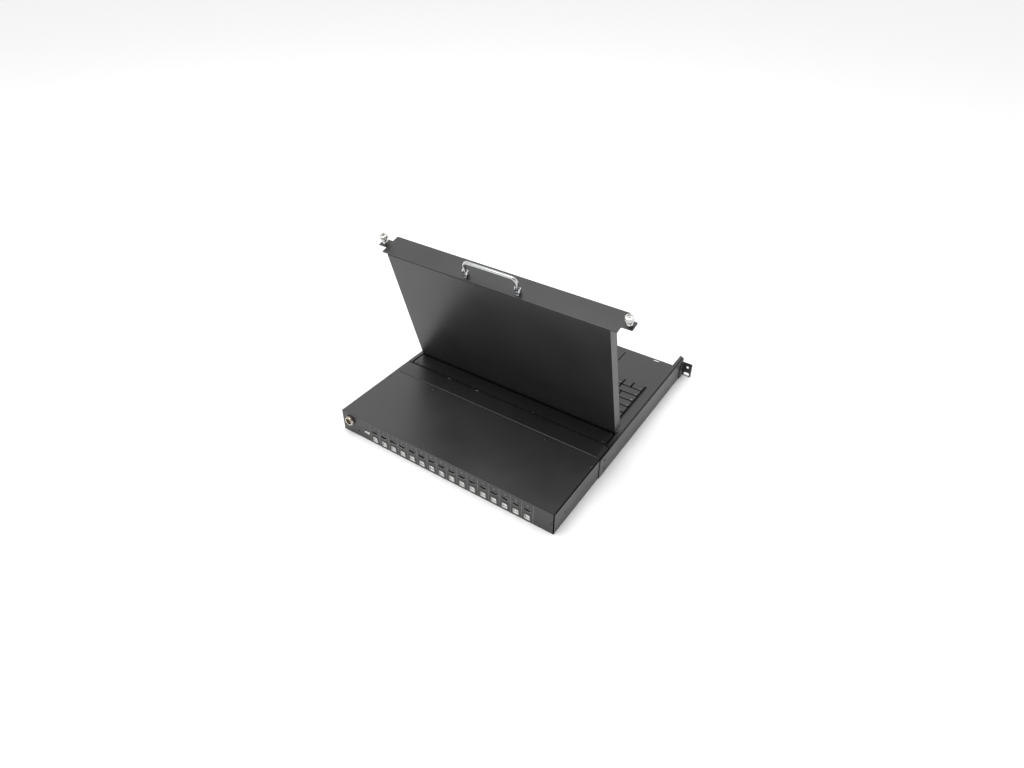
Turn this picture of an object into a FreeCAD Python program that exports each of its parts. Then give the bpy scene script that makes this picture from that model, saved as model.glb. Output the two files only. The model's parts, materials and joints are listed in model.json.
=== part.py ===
import FreeCAD, Part
import math
import os
from FreeCAD import Vector

# A one-unit rack console: two fixed side rails with rack ears, a port module across their
# rear ends, and a drawer on telescopic slides that carries a keyboard, a touchpad and a lid
# with the screen. X is the user's right, Y runs to the rear, Z is up. While it is built,
# y = 0 is the face of the rack and z = 0 the underside; everything is moved to the middle
# of the footprint when it is written out. Lengths are in millimetres, angles in degrees.

# ---------------------------------------------------------------- rack fit
ear_span = 482.6              # over both ears
rack_hole_inset = 8.75        # from an ear's tip to its column of rack holes
slot_z = 6.35                 # lower rack hole above the underside
ear_hole_z = 22.2             # middle rack hole, where the thumbscrew goes
slot_length = 12.0
slot_width = 7.0
ear_hole_diameter = 5.0
ear_thickness = 1.6
ear_bottom = 1.6
ear_height = 30.4
ear_corner = 1.5
ear_reach = 18.7              # ear beyond the rail
ear_flange = 16.0             # leg of the ear along the rail
ear_screw_z = (9.0, 25.0)

# ---------------------------------------------------------------- fixed rails
rail_height = 41.3
rail_wall = 1.2
rail_top_lip = 5.0
rail_bottom_lip = 7.8
rail_tab = 35.0               # end of the web that laps the module's side
rail_tab_hole = 3.2
rail_tab_hole_inset = 8.0
rail_screw_z = (11.0, 29.0)

# ---------------------------------------------------------------- telescopic slides
slide_depth = 7.0             # from the rail's web to the drawer's side
slide_height = 30.0
slide_bottom = 5.5
slide_sheet = 1.0
slide_play = 0.5              # ball track between nested members
slide_lip_gap = 1.95          # outer member's lips stop this far from the drawer
slide_front = 8.0             # from the rack face to the front end of the slides
slide_rear_gap = 4.0          # slides end this far ahead of the module
slide_stagger = 6.0           # middle member is shorter by this at the rear

# ---------------------------------------------------------------- port module
module_front = 316.0
module_depth = 180.0
module_height = 43.1
module_sheet = 1.2
panel_thickness = 1.5
strip_depth = 34.0            # raised strip along the front of the cover
strip_rise = 1.0
strip_end_gap = 7.4           # from the module's side to the end of the strip
cover_lip = 6.0
cover_middle_screw = (99.9, 43.0)   # inset from the module's side, setback from its front
cover_corner_screw = (4.7, 57.0)
panel_screw_z = 19.5
panel_screw_inset = 4.9
board_thickness = 1.6
board_inset = 6.0
board_rear_gap = 0.5
standoff_diameter = 7.0
standoff_inset = 18.0
port_count = 16
port_last_inset = 48.1        # last column of ports from the module's side
port_usb_step = 19.3          # first column from the single USB socket
usb_b_z = 9.7
usb_b_width = 12.0
usb_b_height = 11.0
usb_b_corner = 1.8            # upper corners cut off
usb_b_mouth_width = 8.4       # mouth inside the white insert
usb_b_mouth_height = 7.7
usb_b_floor = 2.5
usb_b_post_width = 5.6
usb_b_post_height = 3.0
usb_b_post_offset = 0.4       # above the middle of the port
hdmi_z = 26.0
hdmi_width = 15.2
hdmi_height = 6.0
hdmi_corner_width = 2.2       # lower corners cut off
hdmi_corner_height = 2.5
hdmi_tongue_width = 10.4
hdmi_tongue_height = 1.5
hdmi_tongue_offset = 0.5
port_depth = 12.0
port_wall = 0.5
port_proud = 0.6
tongue_setback = 1.0          # tongue ends this far behind the panel's face
insert_setback = 0.3          # white insert behind the shell's rim
usb_a_reset_step = 19.6       # single USB socket from the reset hole
usb_a_z = 17.6
usb_a_width = 14.4
usb_a_height = 7.0
usb_a_tongue_width = 11.0
usb_a_tongue_height = 2.0
usb_a_tongue_gap = 0.6
reset_socket_step = 18.4      # reset hole from the power socket
reset_z = 12.3
reset_diameter = 3.0
socket_inset = 19.4           # power socket from the module's side
socket_z = 28.0
socket_diameter = 16.0
socket_bore = 12.8
socket_length = 5.6           # barrel beyond the panel
socket_body = 10.0            # barrel behind the panel
socket_nut_across = 19.0
socket_nut_height = 2.6
socket_recess = 4.4           # insert's face below the rim
socket_pin_diameter = 1.6
socket_pin_ring = 6.4
socket_pin_count = 4
socket_pin_setback = 1.4      # pins and key end this far below the rim
socket_key_width = 2.0
socket_key_depth = 1.4
socket_key_gap = 0.3

# ---------------------------------------------------------------- drawer
drawer_rear_gap = 2.0         # seam between the drawer and the module
tray_bottom = 1.8
tray_sheet = 1.0
tray_height = 43.0            # top of the side flange above the underside
tray_flange = 6.8             # folded outwards over the slides
tray_nose = 1.2               # sides reach this far ahead of the rack face
tray_nose_radius = 4.0
tray_front_wall = 12.6
deck_z = 20.0
deck_sheet = 1.0
deck_front = 5.0
latch_slot_inset = 43.4       # from the drawer's inner side
latch_slot_y = 10.0
latch_slot_length = 12.4
latch_slot_width = 3.0
cover_gap = 3.2               # open slot at each end of the hinge cover
cover_depth = 32.5
cover_bend = 0.8              # radius of its folded front edge
cover_screw_inset = 7.0
cover_screw_setback = 4.0
cover_screw_inner_x = 66.0

# ---------------------------------------------------------------- keyboard
keyboard_side_gap = 20.8      # from the rim to the drawer's inner side
key_gap = 1.3
key_rise = 3.0                # key tops above the deck
key_height = 3.6
key_taper = 1.1
key_travel = 2.0
key_floor_gap = 0.4           # left under a pressed key
stem_size = 4.0
stem_play = 0.3
stem_hold = 0.7               # stem inside the base plate when released
keyboard_front = 100.4
keyboard_rim = 1.4
keyboard_rim_rise = 0.6
keyboard_corner = 3.6
keyboard_inner_corner = 2.2
keyboard_margin = 0.7         # between the outer keys and the rim
keyboard_plate = 1.2
opening_play = 0.4            # between a deck opening and what sits in it
keyboard_ledge = 3.0          # overlap under the deck around the opening

# Key widths along each row, in key units, from the user's left; front row first.
key_rows = (
    [1.25, 1, 1, 1.25, 5.5] + [1] * 6 + [2, 1, 1],
    [2.25] + [1] * 10 + [1.75, 1] + [1] * 5,
    [1.75] + [1] * 11 + [2.25] + [1] * 5,
    [1.5] + [1] * 12 + [1.5] + [1] * 5,
    [1] * 13 + [2] + [1] * 5,
    [1] * 20,
)

# ---------------------------------------------------------------- touchpad
pad_panel_width = 212.0
pad_panel_depth = 75.0
pad_panel_front = 17.0
pad_panel_rise = 0.2
pad_panel_ledge = 2.6
pad_panel_corner = 2.6
pad_width = 90.0
pad_depth = 50.0
pad_pocket = 0.8
pad_sunk = 0.15               # pad below the panel's top
pad_corner = 1.2
pad_rear_inset = 4.0
pad_button_depth = 12.0
pad_button_front_inset = 5.0
pad_button_split = 1.6
pad_button_sunk = 0.2         # pressed button below the panel's top
pad_button_height = 2.4
pad_button_chamfer = 0.4
pad_button_travel = 0.7
pad_play = 0.3

# ---------------------------------------------------------------- lid
lid_angle = 105.33            # opened from flat
lid_side_gap = 0.8            # from the lid to the drawer's inner side
lid_thickness = 19.0
lid_front_gap = 2.0           # lid's far end ahead of the rack face when closed
lid_heel = 7.0                # lid behind the hinge axis
lid_bend = 12.0               # back slopes off from here to the heel
lid_bend_drop = 6.0
lid_sheet = 1.2
lid_screw_left_inset = 19.6
lid_screw_middle_x = 10.0
lid_screw_right_inset = 9.6
lid_screw_reach = 17.0
lid_notch_reach = 14.0        # corner cut out for the hinge, along the lid
lid_notch_width = 8.1         # and across it
hinge_setback = 15.0          # hinge axis ahead of the hinge cover
hinge_z = 33.2
hinge_depth = 10.0            # hinge axis below the lid's back
frame_sheet = 1.2
window_side = 21.1            # frame beside the window
window_top = 16.5             # frame beyond the window, at the lid's far end
window_start = 36.0           # lower edge of the window from the hinge axis
window_bevel = 0.8
panel_border = 8.0
panel_depth = 6.3
osd_count = 3
osd_inset = 36.6              # last button from the lid's side
osd_pitch = 13.0
osd_reach = 18.0
osd_width = 6.4
osd_depth = 3.2
osd_rise = 0.5
osd_height = 3.2
osd_play = 0.3
osd_chamfer = 0.3
catch_width = 9.0
catch_sheet = 1.5
catch_length = 5.6

# ---------------------------------------------------------------- hinges
hinge_pin_diameter = 6.0
hinge_pin_play = 0.05
hinge_hole_play = 0.1         # pin in the lid's cover
hinge_lug = 3.0
hinge_lug_gap = 1.4           # between the lid's notch and the lug
hinge_lug_radius = 6.5
hinge_sides = 16
hinge_foot = 1.5
hinge_foot_width = 5.0
hinge_foot_depth = 20.0
hinge_head_diameter = 9.0
hinge_head = 1.2
hinge_head_gap = 0.3
hinge_arm_reach = 42.0
hinge_arm_heel_gap = 1.0      # strap from the lid's heel wall
hinge_arm_back = 2.0          # strap beyond the axis, towards the lid's back
hinge_arm_front = 6.0         # and towards the screen
hinge_arm_sheet = 2.0

# ---------------------------------------------------------------- front bezel
bezel_overhang = 0.7          # bezel beyond the rails' outer faces
bezel_height = 43.0
bezel_sheet = 1.8
bezel_ear_height = 17.6
bezel_ear_corner = 1.0
bezel_notch = 1.0             # plate steps in beside the ears
bezel_chamfer = 0.8

# ---------------------------------------------------------------- handle
handle_spacing = 100.0
handle_rod = 6.0
handle_sides = 8
handle_inset = 9.0            # from the lid's back
handle_reach = 22.4           # pivot to the bar's middle
handle_bend = 9.0
handle_pivot_rise = 7.0
handle_flat = 2.5             # half thickness of the flattened ends
handle_flat_length = 5.0
handle_pin_diameter = 2.5
handle_pin_play = 0.05
fork_gap = 0.35
fork_diameter = 11.0
fork_base = 2.4

# ---------------------------------------------------------------- thumbscrews
ferrule_diameter = 10.7
ferrule_height = 5.7
ferrule_spigot = 9.0
sleeve_diameter = 7.6
sleeve_length = 6.2
thumb_play = 0.05             # shank in its sleeve
ferrule_play = 0.1            # sleeve in its ferrule
thumb_head_diameter = 14.0
thumb_head_height = 6.8
thumb_head_sides = 16
thumb_recess_diameter = 8.4
thumb_recess = 1.6
thumb_shank_diameter = 4.0
thumb_tip = 0.2               # shank's tip above the bezel's rear face, released
thumb_travel = 4.0            # head's underside above its ferrule, released

# ---------------------------------------------------------------- small screws
screw_head_diameter = 4.6
screw_head_height = 0.9
screw_shank_diameter = 2.4
screw_shank_length = 3.0
screw_sides = 6               # small round parts are made with flat sides
round_sides = 12
corner_sides = 3

# ---------------------------------------------------------------- sizes that follow
rail_x = ear_span / 2 - ear_reach
web_x = rail_x - rail_wall
side_x = web_x - slide_depth            # outer face of the drawer's sides
tray_x = side_x - tray_sheet            # inner face of the drawer's sides
nest = slide_sheet + slide_play
slide_rear = module_front - slide_rear_gap
drawer_rear = module_front - drawer_rear_gap
module_rear = module_front + module_depth
cover_front = drawer_rear - cover_depth
hinge_y = cover_front - hinge_setback
lid_end = hinge_y + lid_front_gap       # hinge axis to the lid's far end
lid_x = tray_x - lid_side_gap
lug_inner_x = lid_x - lid_notch_width + hinge_lug_gap
lid_back_z = hinge_z + hinge_depth
face_s = lid_end + bezel_sheet          # front face of the bezel, along the lid
thumb_t = lid_back_z - ear_hole_z
rack_hole_x = ear_span / 2 - rack_hole_inset
bezel_x = rail_x + bezel_overhang
thumb_rise = ferrule_height + thumb_travel
pad_button_rise = pad_button_travel - pad_button_sunk
window_x = lid_x - window_side
window_end = lid_end - window_top
latch_slot_x = tray_x - latch_slot_inset
socket_x = web_x - socket_inset
reset_x = socket_x - reset_socket_step
usb_a_x = reset_x - usb_a_reset_step
port_first_x = usb_a_x - port_usb_step
port_pitch = (port_first_x + web_x - port_last_inset) / (port_count - 1)
rim_outer_x = tray_x - keyboard_side_gap
rim_inner_x = rim_outer_x - keyboard_rim
key_field_x = rim_inner_x - keyboard_margin
key_pitch = 2 * key_field_x / sum(key_rows[0])
rim_front = keyboard_front
rim_rear = rim_front + 2 * (keyboard_rim + keyboard_margin) + len(key_rows) * key_pitch
key_bottom = deck_z + key_rise - key_height
base_top = key_bottom - key_travel - key_floor_gap
footprint_mid = (module_rear + socket_length - ear_thickness) / 2

os.makedirs("parts", exist_ok=True)


# ---------------------------------------------------------------- helpers
def block(x0, x1, y0, y1, z0, z1):
    return Part.makeBox(x1 - x0, y1 - y0, z1 - z0, Vector(x0, y0, z0))


def rod(radius, start, end):
    along = end - start
    return Part.makeCylinder(radius, along.Length, start, along)


def polygon(points):
    return Part.Face(Part.makePolygon(list(points) + [points[0]]))


def flat_sided(radius, start, end, sides):
    """Prism about an axis, with its corners on the radius."""
    along = end - start
    turns = [math.radians(360 * (i + 0.5) / sides) for i in range(sides)]
    face = polygon([Vector(radius * math.cos(a), radius * math.sin(a), 0) for a in turns])
    face.Placement = FreeCAD.Placement(start, FreeCAD.Rotation(Vector(0, 0, 1), along))
    return face.extrude(along)


def screw_hole(start, end):
    return flat_sided(screw_shank_diameter / 2, start, end, screw_sides)


def rounded_plate(x0, x1, y0, y1, z0, z1, radius):
    """Flat plate whose upright corners are rounded in corner_sides short flats."""
    points = []
    corners = ((x1, y1, 0), (x0, y1, 90), (x0, y0, 180), (x1, y0, 270))
    for corner_x, corner_y, start in corners:
        x = corner_x + (radius if corner_x == x0 else -radius)
        y = corner_y + (radius if corner_y == y0 else -radius)
        for step in range(corner_sides + 1):
            turn = math.radians(start + 90 * step / corner_sides)
            points.append(Vector(x + radius * math.cos(turn), y + radius * math.sin(turn), z0))
    return polygon(points).extrude(Vector(0, 0, z1 - z0))


def flipped(shape):
    """The same piece for the other side of the unit."""
    return shape.mirror(Vector(0, 0, 0), Vector(1, 0, 0))


def both(shape):
    return [shape, flipped(shape)]


def on_side(shape, side):
    return shape if side == "right" else flipped(shape)


def screw(point, direction, length=screw_shank_length):
    """Pan-head screw: the head stands on the point, its shank goes the other way."""
    head = flat_sided(screw_head_diameter / 2, point, point + direction * screw_head_height, screw_sides)
    shank = screw_hole(point - direction * length, point)
    return head.fuse(shank).removeSplitter()


def lid_block(x0, x1, s0, s1, t0, t1):
    """Box in the closed lid: s runs from the hinge axis to the far end, t from the back."""
    return block(x0, x1, hinge_y - s1, hinge_y - s0, lid_back_z - t1, lid_back_z - t0)


def lid_point(x, s, t):
    return Vector(x, hinge_y - s, lid_back_z - t)


def opened(shape):
    """Turn a piece of the closed lid to the angle it stands open at."""
    turned = shape.copy()
    turned.rotate(Vector(0, hinge_y, hinge_z), Vector(1, 0, 0), -lid_angle)
    return turned


def save(name, *shapes):
    solids = []
    for shape in shapes:
        solids += shape.Solids
    group = solids[0] if len(solids) == 1 else Part.makeCompound(solids)
    group.translate(Vector(0, -footprint_mid, 0))
    group.exportStep("parts/" + name + ".step")


# ---------------------------------------------------------------- fixed frame
def rail():
    web = block(web_x, rail_x, 0, module_front + rail_tab, 0, rail_height)
    top = block(rail_x - rail_top_lip, rail_x, 0, module_front, rail_height - rail_wall, rail_height)
    bottom = block(rail_x - rail_bottom_lip, rail_x, 0, module_front, 0, rail_wall)
    hole_y = module_front + rail_tab - rail_tab_hole_inset
    hole_z = rail_height - rail_tab_hole_inset / 2
    hole = flat_sided(rail_tab_hole / 2, Vector(web_x, hole_y, hole_z), Vector(rail_x, hole_y, hole_z),
                      screw_sides)
    holes = [screw_hole(Vector(web_x, y, z), Vector(rail_x, y, z)) for y, z in side_screw_places()]
    return web.fuse([top, bottom]).removeSplitter().cut(holes + [hole])


def ear_screw_places():
    return [(ear_flange / 2, z) for z in ear_screw_z]


def module_side_screw_places():
    return [(module_front + rail_tab / 2, z) for z in rail_screw_z]


def side_screw_places():
    return ear_screw_places() + module_side_screw_places()


def rack_ear():
    tip = ear_span / 2
    height = (ear_bottom, ear_bottom + ear_height)
    plate = block(rail_x, tip, -ear_thickness, 0, *height)
    far = [e for e in plate.Edges if abs(e.CenterOfMass.x - tip) < 1e-6 and e.Length < ear_thickness * 1.5]
    plate = plate.makeChamfer(ear_corner, far)
    flange = block(rail_x, rail_x + ear_thickness, -ear_thickness, ear_flange, *height)
    ear = plate.fuse(flange).removeSplitter()
    through = Vector(0, ear_thickness, 0)
    near_x = rack_hole_x - (slot_length - slot_width) / 2
    far_x = rack_hole_x + (slot_length - slot_width) / 2
    ends = [Vector(x, -ear_thickness, slot_z) for x in (near_x, far_x)]
    middle = block(near_x, far_x, -ear_thickness, 0, slot_z - slot_width / 2, slot_z + slot_width / 2)
    slot = middle.fuse([rod(slot_width / 2, end, end + through) for end in ends]).removeSplitter()
    hole_at = Vector(rack_hole_x, -ear_thickness, ear_hole_z)
    hole = rod(ear_hole_diameter / 2, hole_at, hole_at + through)
    screw_holes = [screw_hole(Vector(rail_x, y, z), Vector(rail_x + ear_thickness, y, z))
                   for y, z in ear_screw_places()]
    return ear.cut([slot, hole] + screw_holes)


def frame_screws():
    outwards = Vector(1, 0, 0)
    screws = []
    for y, z in ear_screw_places():
        screws += both(screw(Vector(rail_x + ear_thickness, y, z), outwards, ear_thickness + rail_wall))
    for y, z in module_side_screw_places():
        screws += both(screw(Vector(rail_x, y, z), outwards, rail_wall + module_sheet))
    return screws


def channel(web_at, tip_at, bottom, height, y0, y1):
    """Slide member: a web with a lip along each edge, both lips reaching from it to tip_at."""
    inward = math.copysign(slide_sheet, tip_at - web_at)
    web = block(min(web_at, web_at + inward), max(web_at, web_at + inward), y0, y1, bottom, bottom + height)
    low, high = min(web_at, tip_at), max(web_at, tip_at)
    lips = [block(low, high, y0, y1, bottom, bottom + slide_sheet),
            block(low, high, y0, y1, bottom + height - slide_sheet, bottom + height)]
    return web.fuse(lips).removeSplitter()


def slide_outer():
    return channel(web_x, side_x + slide_lip_gap, slide_bottom, slide_height, slide_front, slide_rear)


def slide_middle():
    return channel(web_x - nest, side_x + nest, slide_bottom + nest, slide_height - 2 * nest,
                   slide_front, slide_rear - slide_stagger)


def slide_inner():
    return channel(side_x, web_x - 2 * nest, slide_bottom + 2 * nest, slide_height - 4 * nest,
                   slide_front, slide_rear)


# ---------------------------------------------------------------- port module
def module_base():
    outer = block(-web_x, web_x, module_front, module_rear - panel_thickness, 0, module_height - module_sheet)
    inner = block(-web_x + module_sheet, web_x - module_sheet, module_front + module_sheet, module_rear + 1,
                  module_sheet, module_height + 1)
    shape = outer.cut(inner)
    standoffs = [flat_sided(standoff_diameter / 2, Vector(x, y, module_sheet), Vector(x, y, board_bottom()),
                            screw_sides) for x, y in standoff_places()]
    holes = []
    for y, z in module_side_screw_places():
        holes += both(screw_hole(Vector(web_x - module_sheet, y, z), Vector(web_x, y, z)))
    return shape.fuse(standoffs).removeSplitter().cut(holes)


def board_bottom():
    return usb_b_z - usb_b_height / 2 - board_thickness


def standoff_places():
    x = web_x - standoff_inset
    near = module_front + standoff_inset
    far = module_rear - standoff_inset
    return [(x, near), (-x, near), (x, far), (-x, far)]


def module_board():
    x = web_x - board_inset
    return block(-x, x, module_front + board_inset, module_rear - panel_thickness - board_rear_gap,
                 board_bottom(), board_bottom() + board_thickness)


def port_xs():
    return [port_first_x - port_pitch * i for i in range(port_count)]


def facing_rear(wire_face, depth_start, depth_end):
    """Extrude an outline drawn in XZ between two depths behind or beyond the panel's rear face."""
    face = wire_face.copy()
    face.translate(Vector(0, module_rear + depth_start, 0))
    return face.extrude(Vector(0, depth_end - depth_start, 0))


def hdmi_outline(x, shrink):
    """Six-cornered mouth: flat top, lower corners cut off."""
    w, h = hdmi_width / 2 - shrink, hdmi_height / 2 - shrink
    cut_x, cut_z = hdmi_corner_width, hdmi_corner_height
    points = [(-w, h), (w, h), (w, -h + cut_z), (w - cut_x, -h), (-w + cut_x, -h), (-w, -h + cut_z)]
    return polygon([Vector(x + px, 0, hdmi_z + pz) for px, pz in points])


def usb_b_outline(x):
    """Nearly square, with its two upper corners cut off."""
    w, h, cut = usb_b_width / 2, usb_b_height / 2, usb_b_corner
    points = [(-w, -h), (w, -h), (w, h - cut), (w - cut, h), (-w + cut, h), (-w, h - cut)]
    return polygon([Vector(x + px, 0, usb_b_z + pz) for px, pz in points])


def rectangle_xz(x, z, width, height):
    w, h = width / 2, height / 2
    corners = ((x - w, z - h), (x + w, z - h), (x + w, z + h), (x - w, z + h))
    return polygon([Vector(px, 0, pz) for px, pz in corners])


def usb_b_inside(x):
    """Space in the shell that the white insert fills, clear of the cut corners."""
    return rectangle_xz(x, usb_b_z, usb_b_width - 2 * port_wall - usb_b_corner,
                        usb_b_height - 2 * port_wall)


def hdmi_shell(x):
    outer = facing_rear(hdmi_outline(x, 0), -port_depth, port_proud)
    return outer.cut(facing_rear(hdmi_outline(x, port_wall), -port_depth + port_wall, port_proud + 1))


def hdmi_tongue(x):
    return facing_rear(rectangle_xz(x, hdmi_z + hdmi_tongue_offset, hdmi_tongue_width, hdmi_tongue_height),
                       -port_depth + port_wall, -tongue_setback)


def usb_b_shell(x):
    outer = facing_rear(usb_b_outline(x), -port_depth, port_proud)
    return outer.cut(facing_rear(usb_b_inside(x), -port_depth, port_proud))


def usb_b_insert(x):
    body = facing_rear(usb_b_inside(x), -port_depth, port_proud - insert_setback)
    mouth = facing_rear(rectangle_xz(x, usb_b_z, usb_b_mouth_width, usb_b_mouth_height),
                        -port_depth + usb_b_floor, port_proud)
    post = facing_rear(rectangle_xz(x, usb_b_z + usb_b_post_offset, usb_b_post_width, usb_b_post_height),
                       -port_depth + usb_b_floor, -tongue_setback)
    return body.cut(mouth).fuse(post).removeSplitter()


def usb_a_shell():
    outer = facing_rear(rectangle_xz(usb_a_x, usb_a_z, usb_a_width, usb_a_height), -port_depth, port_proud)
    inner = rectangle_xz(usb_a_x, usb_a_z, usb_a_width - 2 * port_wall, usb_a_height - 2 * port_wall)
    return outer.cut(facing_rear(inner, -port_depth + port_wall, port_proud + 1))


def usb_a_tongue():
    z = usb_a_z + usb_a_height / 2 - port_wall - usb_a_tongue_height / 2 - usb_a_tongue_gap
    return facing_rear(rectangle_xz(usb_a_x, z, usb_a_tongue_width, usb_a_tongue_height),
                       -port_depth + port_wall, -tongue_setback)


def module_rear_panel():
    front = module_rear - panel_thickness
    panel = block(-web_x, web_x, front, module_rear, 0, module_height)
    mouths = [hdmi_outline(x, 0) for x in port_xs()] + [usb_b_outline(x) for x in port_xs()]
    mouths.append(rectangle_xz(usb_a_x, usb_a_z, usb_a_width, usb_a_height))
    holes = [facing_rear(mouth, -panel_thickness, 0) for mouth in mouths]
    for x, z, diameter, sides in ((reset_x, reset_z, reset_diameter, round_sides),
                                  (socket_x, socket_z, socket_diameter, 2 * round_sides),
                                  (panel_screw_x(), panel_screw_z, screw_shank_diameter, screw_sides)):
        holes.append(flat_sided(diameter / 2, Vector(x, front, z), Vector(x, module_rear, z), sides))
    return panel.cut(holes)


def panel_screw_x():
    return -web_x + panel_screw_inset


def power_socket_shell():
    start = Vector(socket_x, module_rear - socket_body, socket_z)
    end = Vector(socket_x, module_rear + socket_length, socket_z)
    bore = flat_sided(socket_bore / 2, start, end, round_sides)
    return flat_sided(socket_diameter / 2, start, end, 2 * round_sides).cut(bore)


def power_socket_insert():
    floor_y = module_rear + socket_length - socket_recess
    top_y = module_rear + socket_length - socket_pin_setback
    core = flat_sided(socket_bore / 2, Vector(socket_x, module_rear - socket_body, socket_z),
                      Vector(socket_x, floor_y, socket_z), round_sides)
    pins = []
    for i in range(socket_pin_count):
        turn = 2 * math.pi * (i + 0.5) / socket_pin_count
        x = socket_x + socket_pin_ring / 2 * math.cos(turn)
        z = socket_z + socket_pin_ring / 2 * math.sin(turn)
        pins.append(flat_sided(socket_pin_diameter / 2, Vector(x, floor_y, z), Vector(x, top_y, z),
                               screw_sides))
    key_top = socket_z + socket_bore / 2 * math.cos(math.pi / round_sides) - socket_key_gap
    key = block(socket_x - socket_key_width / 2, socket_x + socket_key_width / 2, floor_y, top_y,
                key_top - socket_key_depth, key_top)
    return core.fuse(pins + [key]).removeSplitter()


def power_socket_nut():
    start = Vector(socket_x, module_rear, socket_z)
    end = start + Vector(0, socket_nut_height, 0)
    nut = flat_sided(socket_nut_across / math.sqrt(3), start, end, 6)
    return nut.cut(flat_sided(socket_diameter / 2, start, end, 2 * round_sides))


def module_top_cover():
    top, under = module_height, module_height - module_sheet
    rear = module_rear - panel_thickness
    plate = block(-web_x, web_x, module_front, rear, under, top)
    lip_x = web_x - module_sheet
    lip = block(lip_x - module_sheet, lip_x, module_front + strip_depth, rear - cover_lip,
                under - cover_lip, under)
    holes = [screw_hole(at - Vector(0, 0, screw_shank_length), at) for at in cover_screw_places()]
    return plate.fuse(both(lip)).removeSplitter().cut(holes)


def cover_screw_places():
    places = []
    for inset, setback in (cover_middle_screw, cover_corner_screw):
        places += [Vector(sign * (web_x - inset), module_front + setback, module_height) for sign in (-1, 1)]
    return places


def module_front_strip():
    half = web_x - strip_end_gap
    plate = block(-half, half, module_front, module_front + strip_depth,
                  module_height, module_height + strip_rise)
    edge = [e for e in plate.Edges if abs(e.CenterOfMass.y - module_front - strip_depth) < 1e-6
            and e.CenterOfMass.z > module_height + strip_rise - 1e-6]
    return plate.makeChamfer(strip_rise / 2, edge)


def module_screws():
    screws = [screw(at, Vector(0, 0, 1)) for at in cover_screw_places()]
    screws.append(screw(Vector(panel_screw_x(), module_rear, panel_screw_z), Vector(0, 1, 0)))
    return screws


# ---------------------------------------------------------------- drawer
def tray_pan():
    bottom = block(-side_x, side_x, tray_front_wall, drawer_rear, tray_bottom, tray_bottom + tray_sheet)
    front = block(-tray_x, tray_x, tray_front_wall, tray_front_wall + tray_sheet,
                  tray_bottom, deck_z - deck_sheet)
    rear = block(-tray_x, tray_x, drawer_rear - tray_sheet, drawer_rear,
                 tray_bottom, tray_height - tray_sheet)
    wall = block(tray_x, side_x, -tray_nose, drawer_rear, tray_bottom, tray_height)
    nose = [e for e in wall.Edges if abs(e.CenterOfMass.y + tray_nose) < 1e-6 and e.Length < tray_sheet * 1.5]
    wall = wall.makeFillet(tray_nose_radius, nose)
    tip_x = tray_x + tray_flange
    flange = block(tray_x, tip_x, -tray_nose, drawer_rear, tray_height - tray_sheet, tray_height)
    tip = [e for e in flange.Edges if abs(e.CenterOfMass.y + tray_nose) < 1e-6 and e.Length < tray_sheet * 1.5
           and e.CenterOfMass.x > tip_x - 1e-6]
    side = wall.fuse(flange.makeFillet(tray_nose_radius, tip))
    return bottom.fuse([front, rear, side, flipped(side)]).removeSplitter()


def keyboard_opening_bounds(extra):
    x = rim_outer_x + extra
    return -x, x, rim_front - extra, rim_rear + extra


def pad_panel_bounds(extra):
    x = pad_panel_width / 2 + extra
    return -x, x, pad_panel_front - extra, pad_panel_front + pad_panel_depth + extra


def deck_panel():
    sheet = (deck_z - deck_sheet, deck_z)
    deck = block(-tray_x, tray_x, deck_front, cover_front + 2 * tray_sheet, *sheet)
    keyboard = rounded_plate(*keyboard_opening_bounds(opening_play), *sheet, keyboard_corner + opening_play)
    pad = rounded_plate(*pad_panel_bounds(opening_play), *sheet, pad_panel_corner + opening_play)
    half_width, half_length = latch_slot_width / 2, latch_slot_length / 2
    slot = rounded_plate(latch_slot_x - half_length, latch_slot_x + half_length,
                         latch_slot_y - half_width, latch_slot_y + half_width, *sheet, half_width)
    return deck.cut([keyboard, pad] + both(slot))


def hinge_cover():
    half = tray_x - cover_gap
    top = block(-half, half, cover_front, drawer_rear - tray_sheet, tray_height - tray_sheet, tray_height)
    bent = [e for e in top.Edges if abs(e.CenterOfMass.y - cover_front) < 1e-6
            and abs(e.CenterOfMass.z - tray_height) < 1e-6]
    wall = block(-half, half, cover_front, cover_front + tray_sheet, deck_z, tray_height - tray_sheet)
    lap = block(-half, half, drawer_rear - tray_sheet, drawer_rear, tray_height - tray_sheet, tray_height)
    cover = top.makeFillet(cover_bend, bent).fuse([wall, lap]).removeSplitter()
    down = Vector(0, 0, -screw_shank_length)
    return cover.cut([screw_hole(at + down, at) for at in hinge_cover_screw_places()])


def hinge_cover_screw_places():
    outer_x = tray_x - cover_gap - cover_screw_inset
    y = drawer_rear - tray_sheet - cover_screw_setback
    return [Vector(x, y, tray_height) for x in (-outer_x, -cover_screw_inner_x, cover_screw_inner_x, outer_x)]


def drawer_screws():
    return [screw(at, Vector(0, 0, 1)) for at in hinge_cover_screw_places()]


def keyboard_base():
    base_bottom = base_top - keyboard_plate
    x0, x1, y0, y1 = keyboard_opening_bounds(keyboard_ledge)
    under = deck_z - deck_sheet
    body = block(x0, x1, y0, y1, base_bottom, under)
    inner = (-rim_inner_x, rim_inner_x, rim_front + keyboard_rim, rim_rear - keyboard_rim)
    rim_top = deck_z + keyboard_rim_rise
    rim = rounded_plate(*keyboard_opening_bounds(0), under, rim_top, keyboard_corner)
    well = rounded_plate(*inner, base_top, rim_top, keyboard_inner_corner)
    guides = [stem_guide(row, base_bottom) for row in range(len(key_rows))]
    return body.fuse(rim).removeSplitter().cut([well] + guides)


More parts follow.
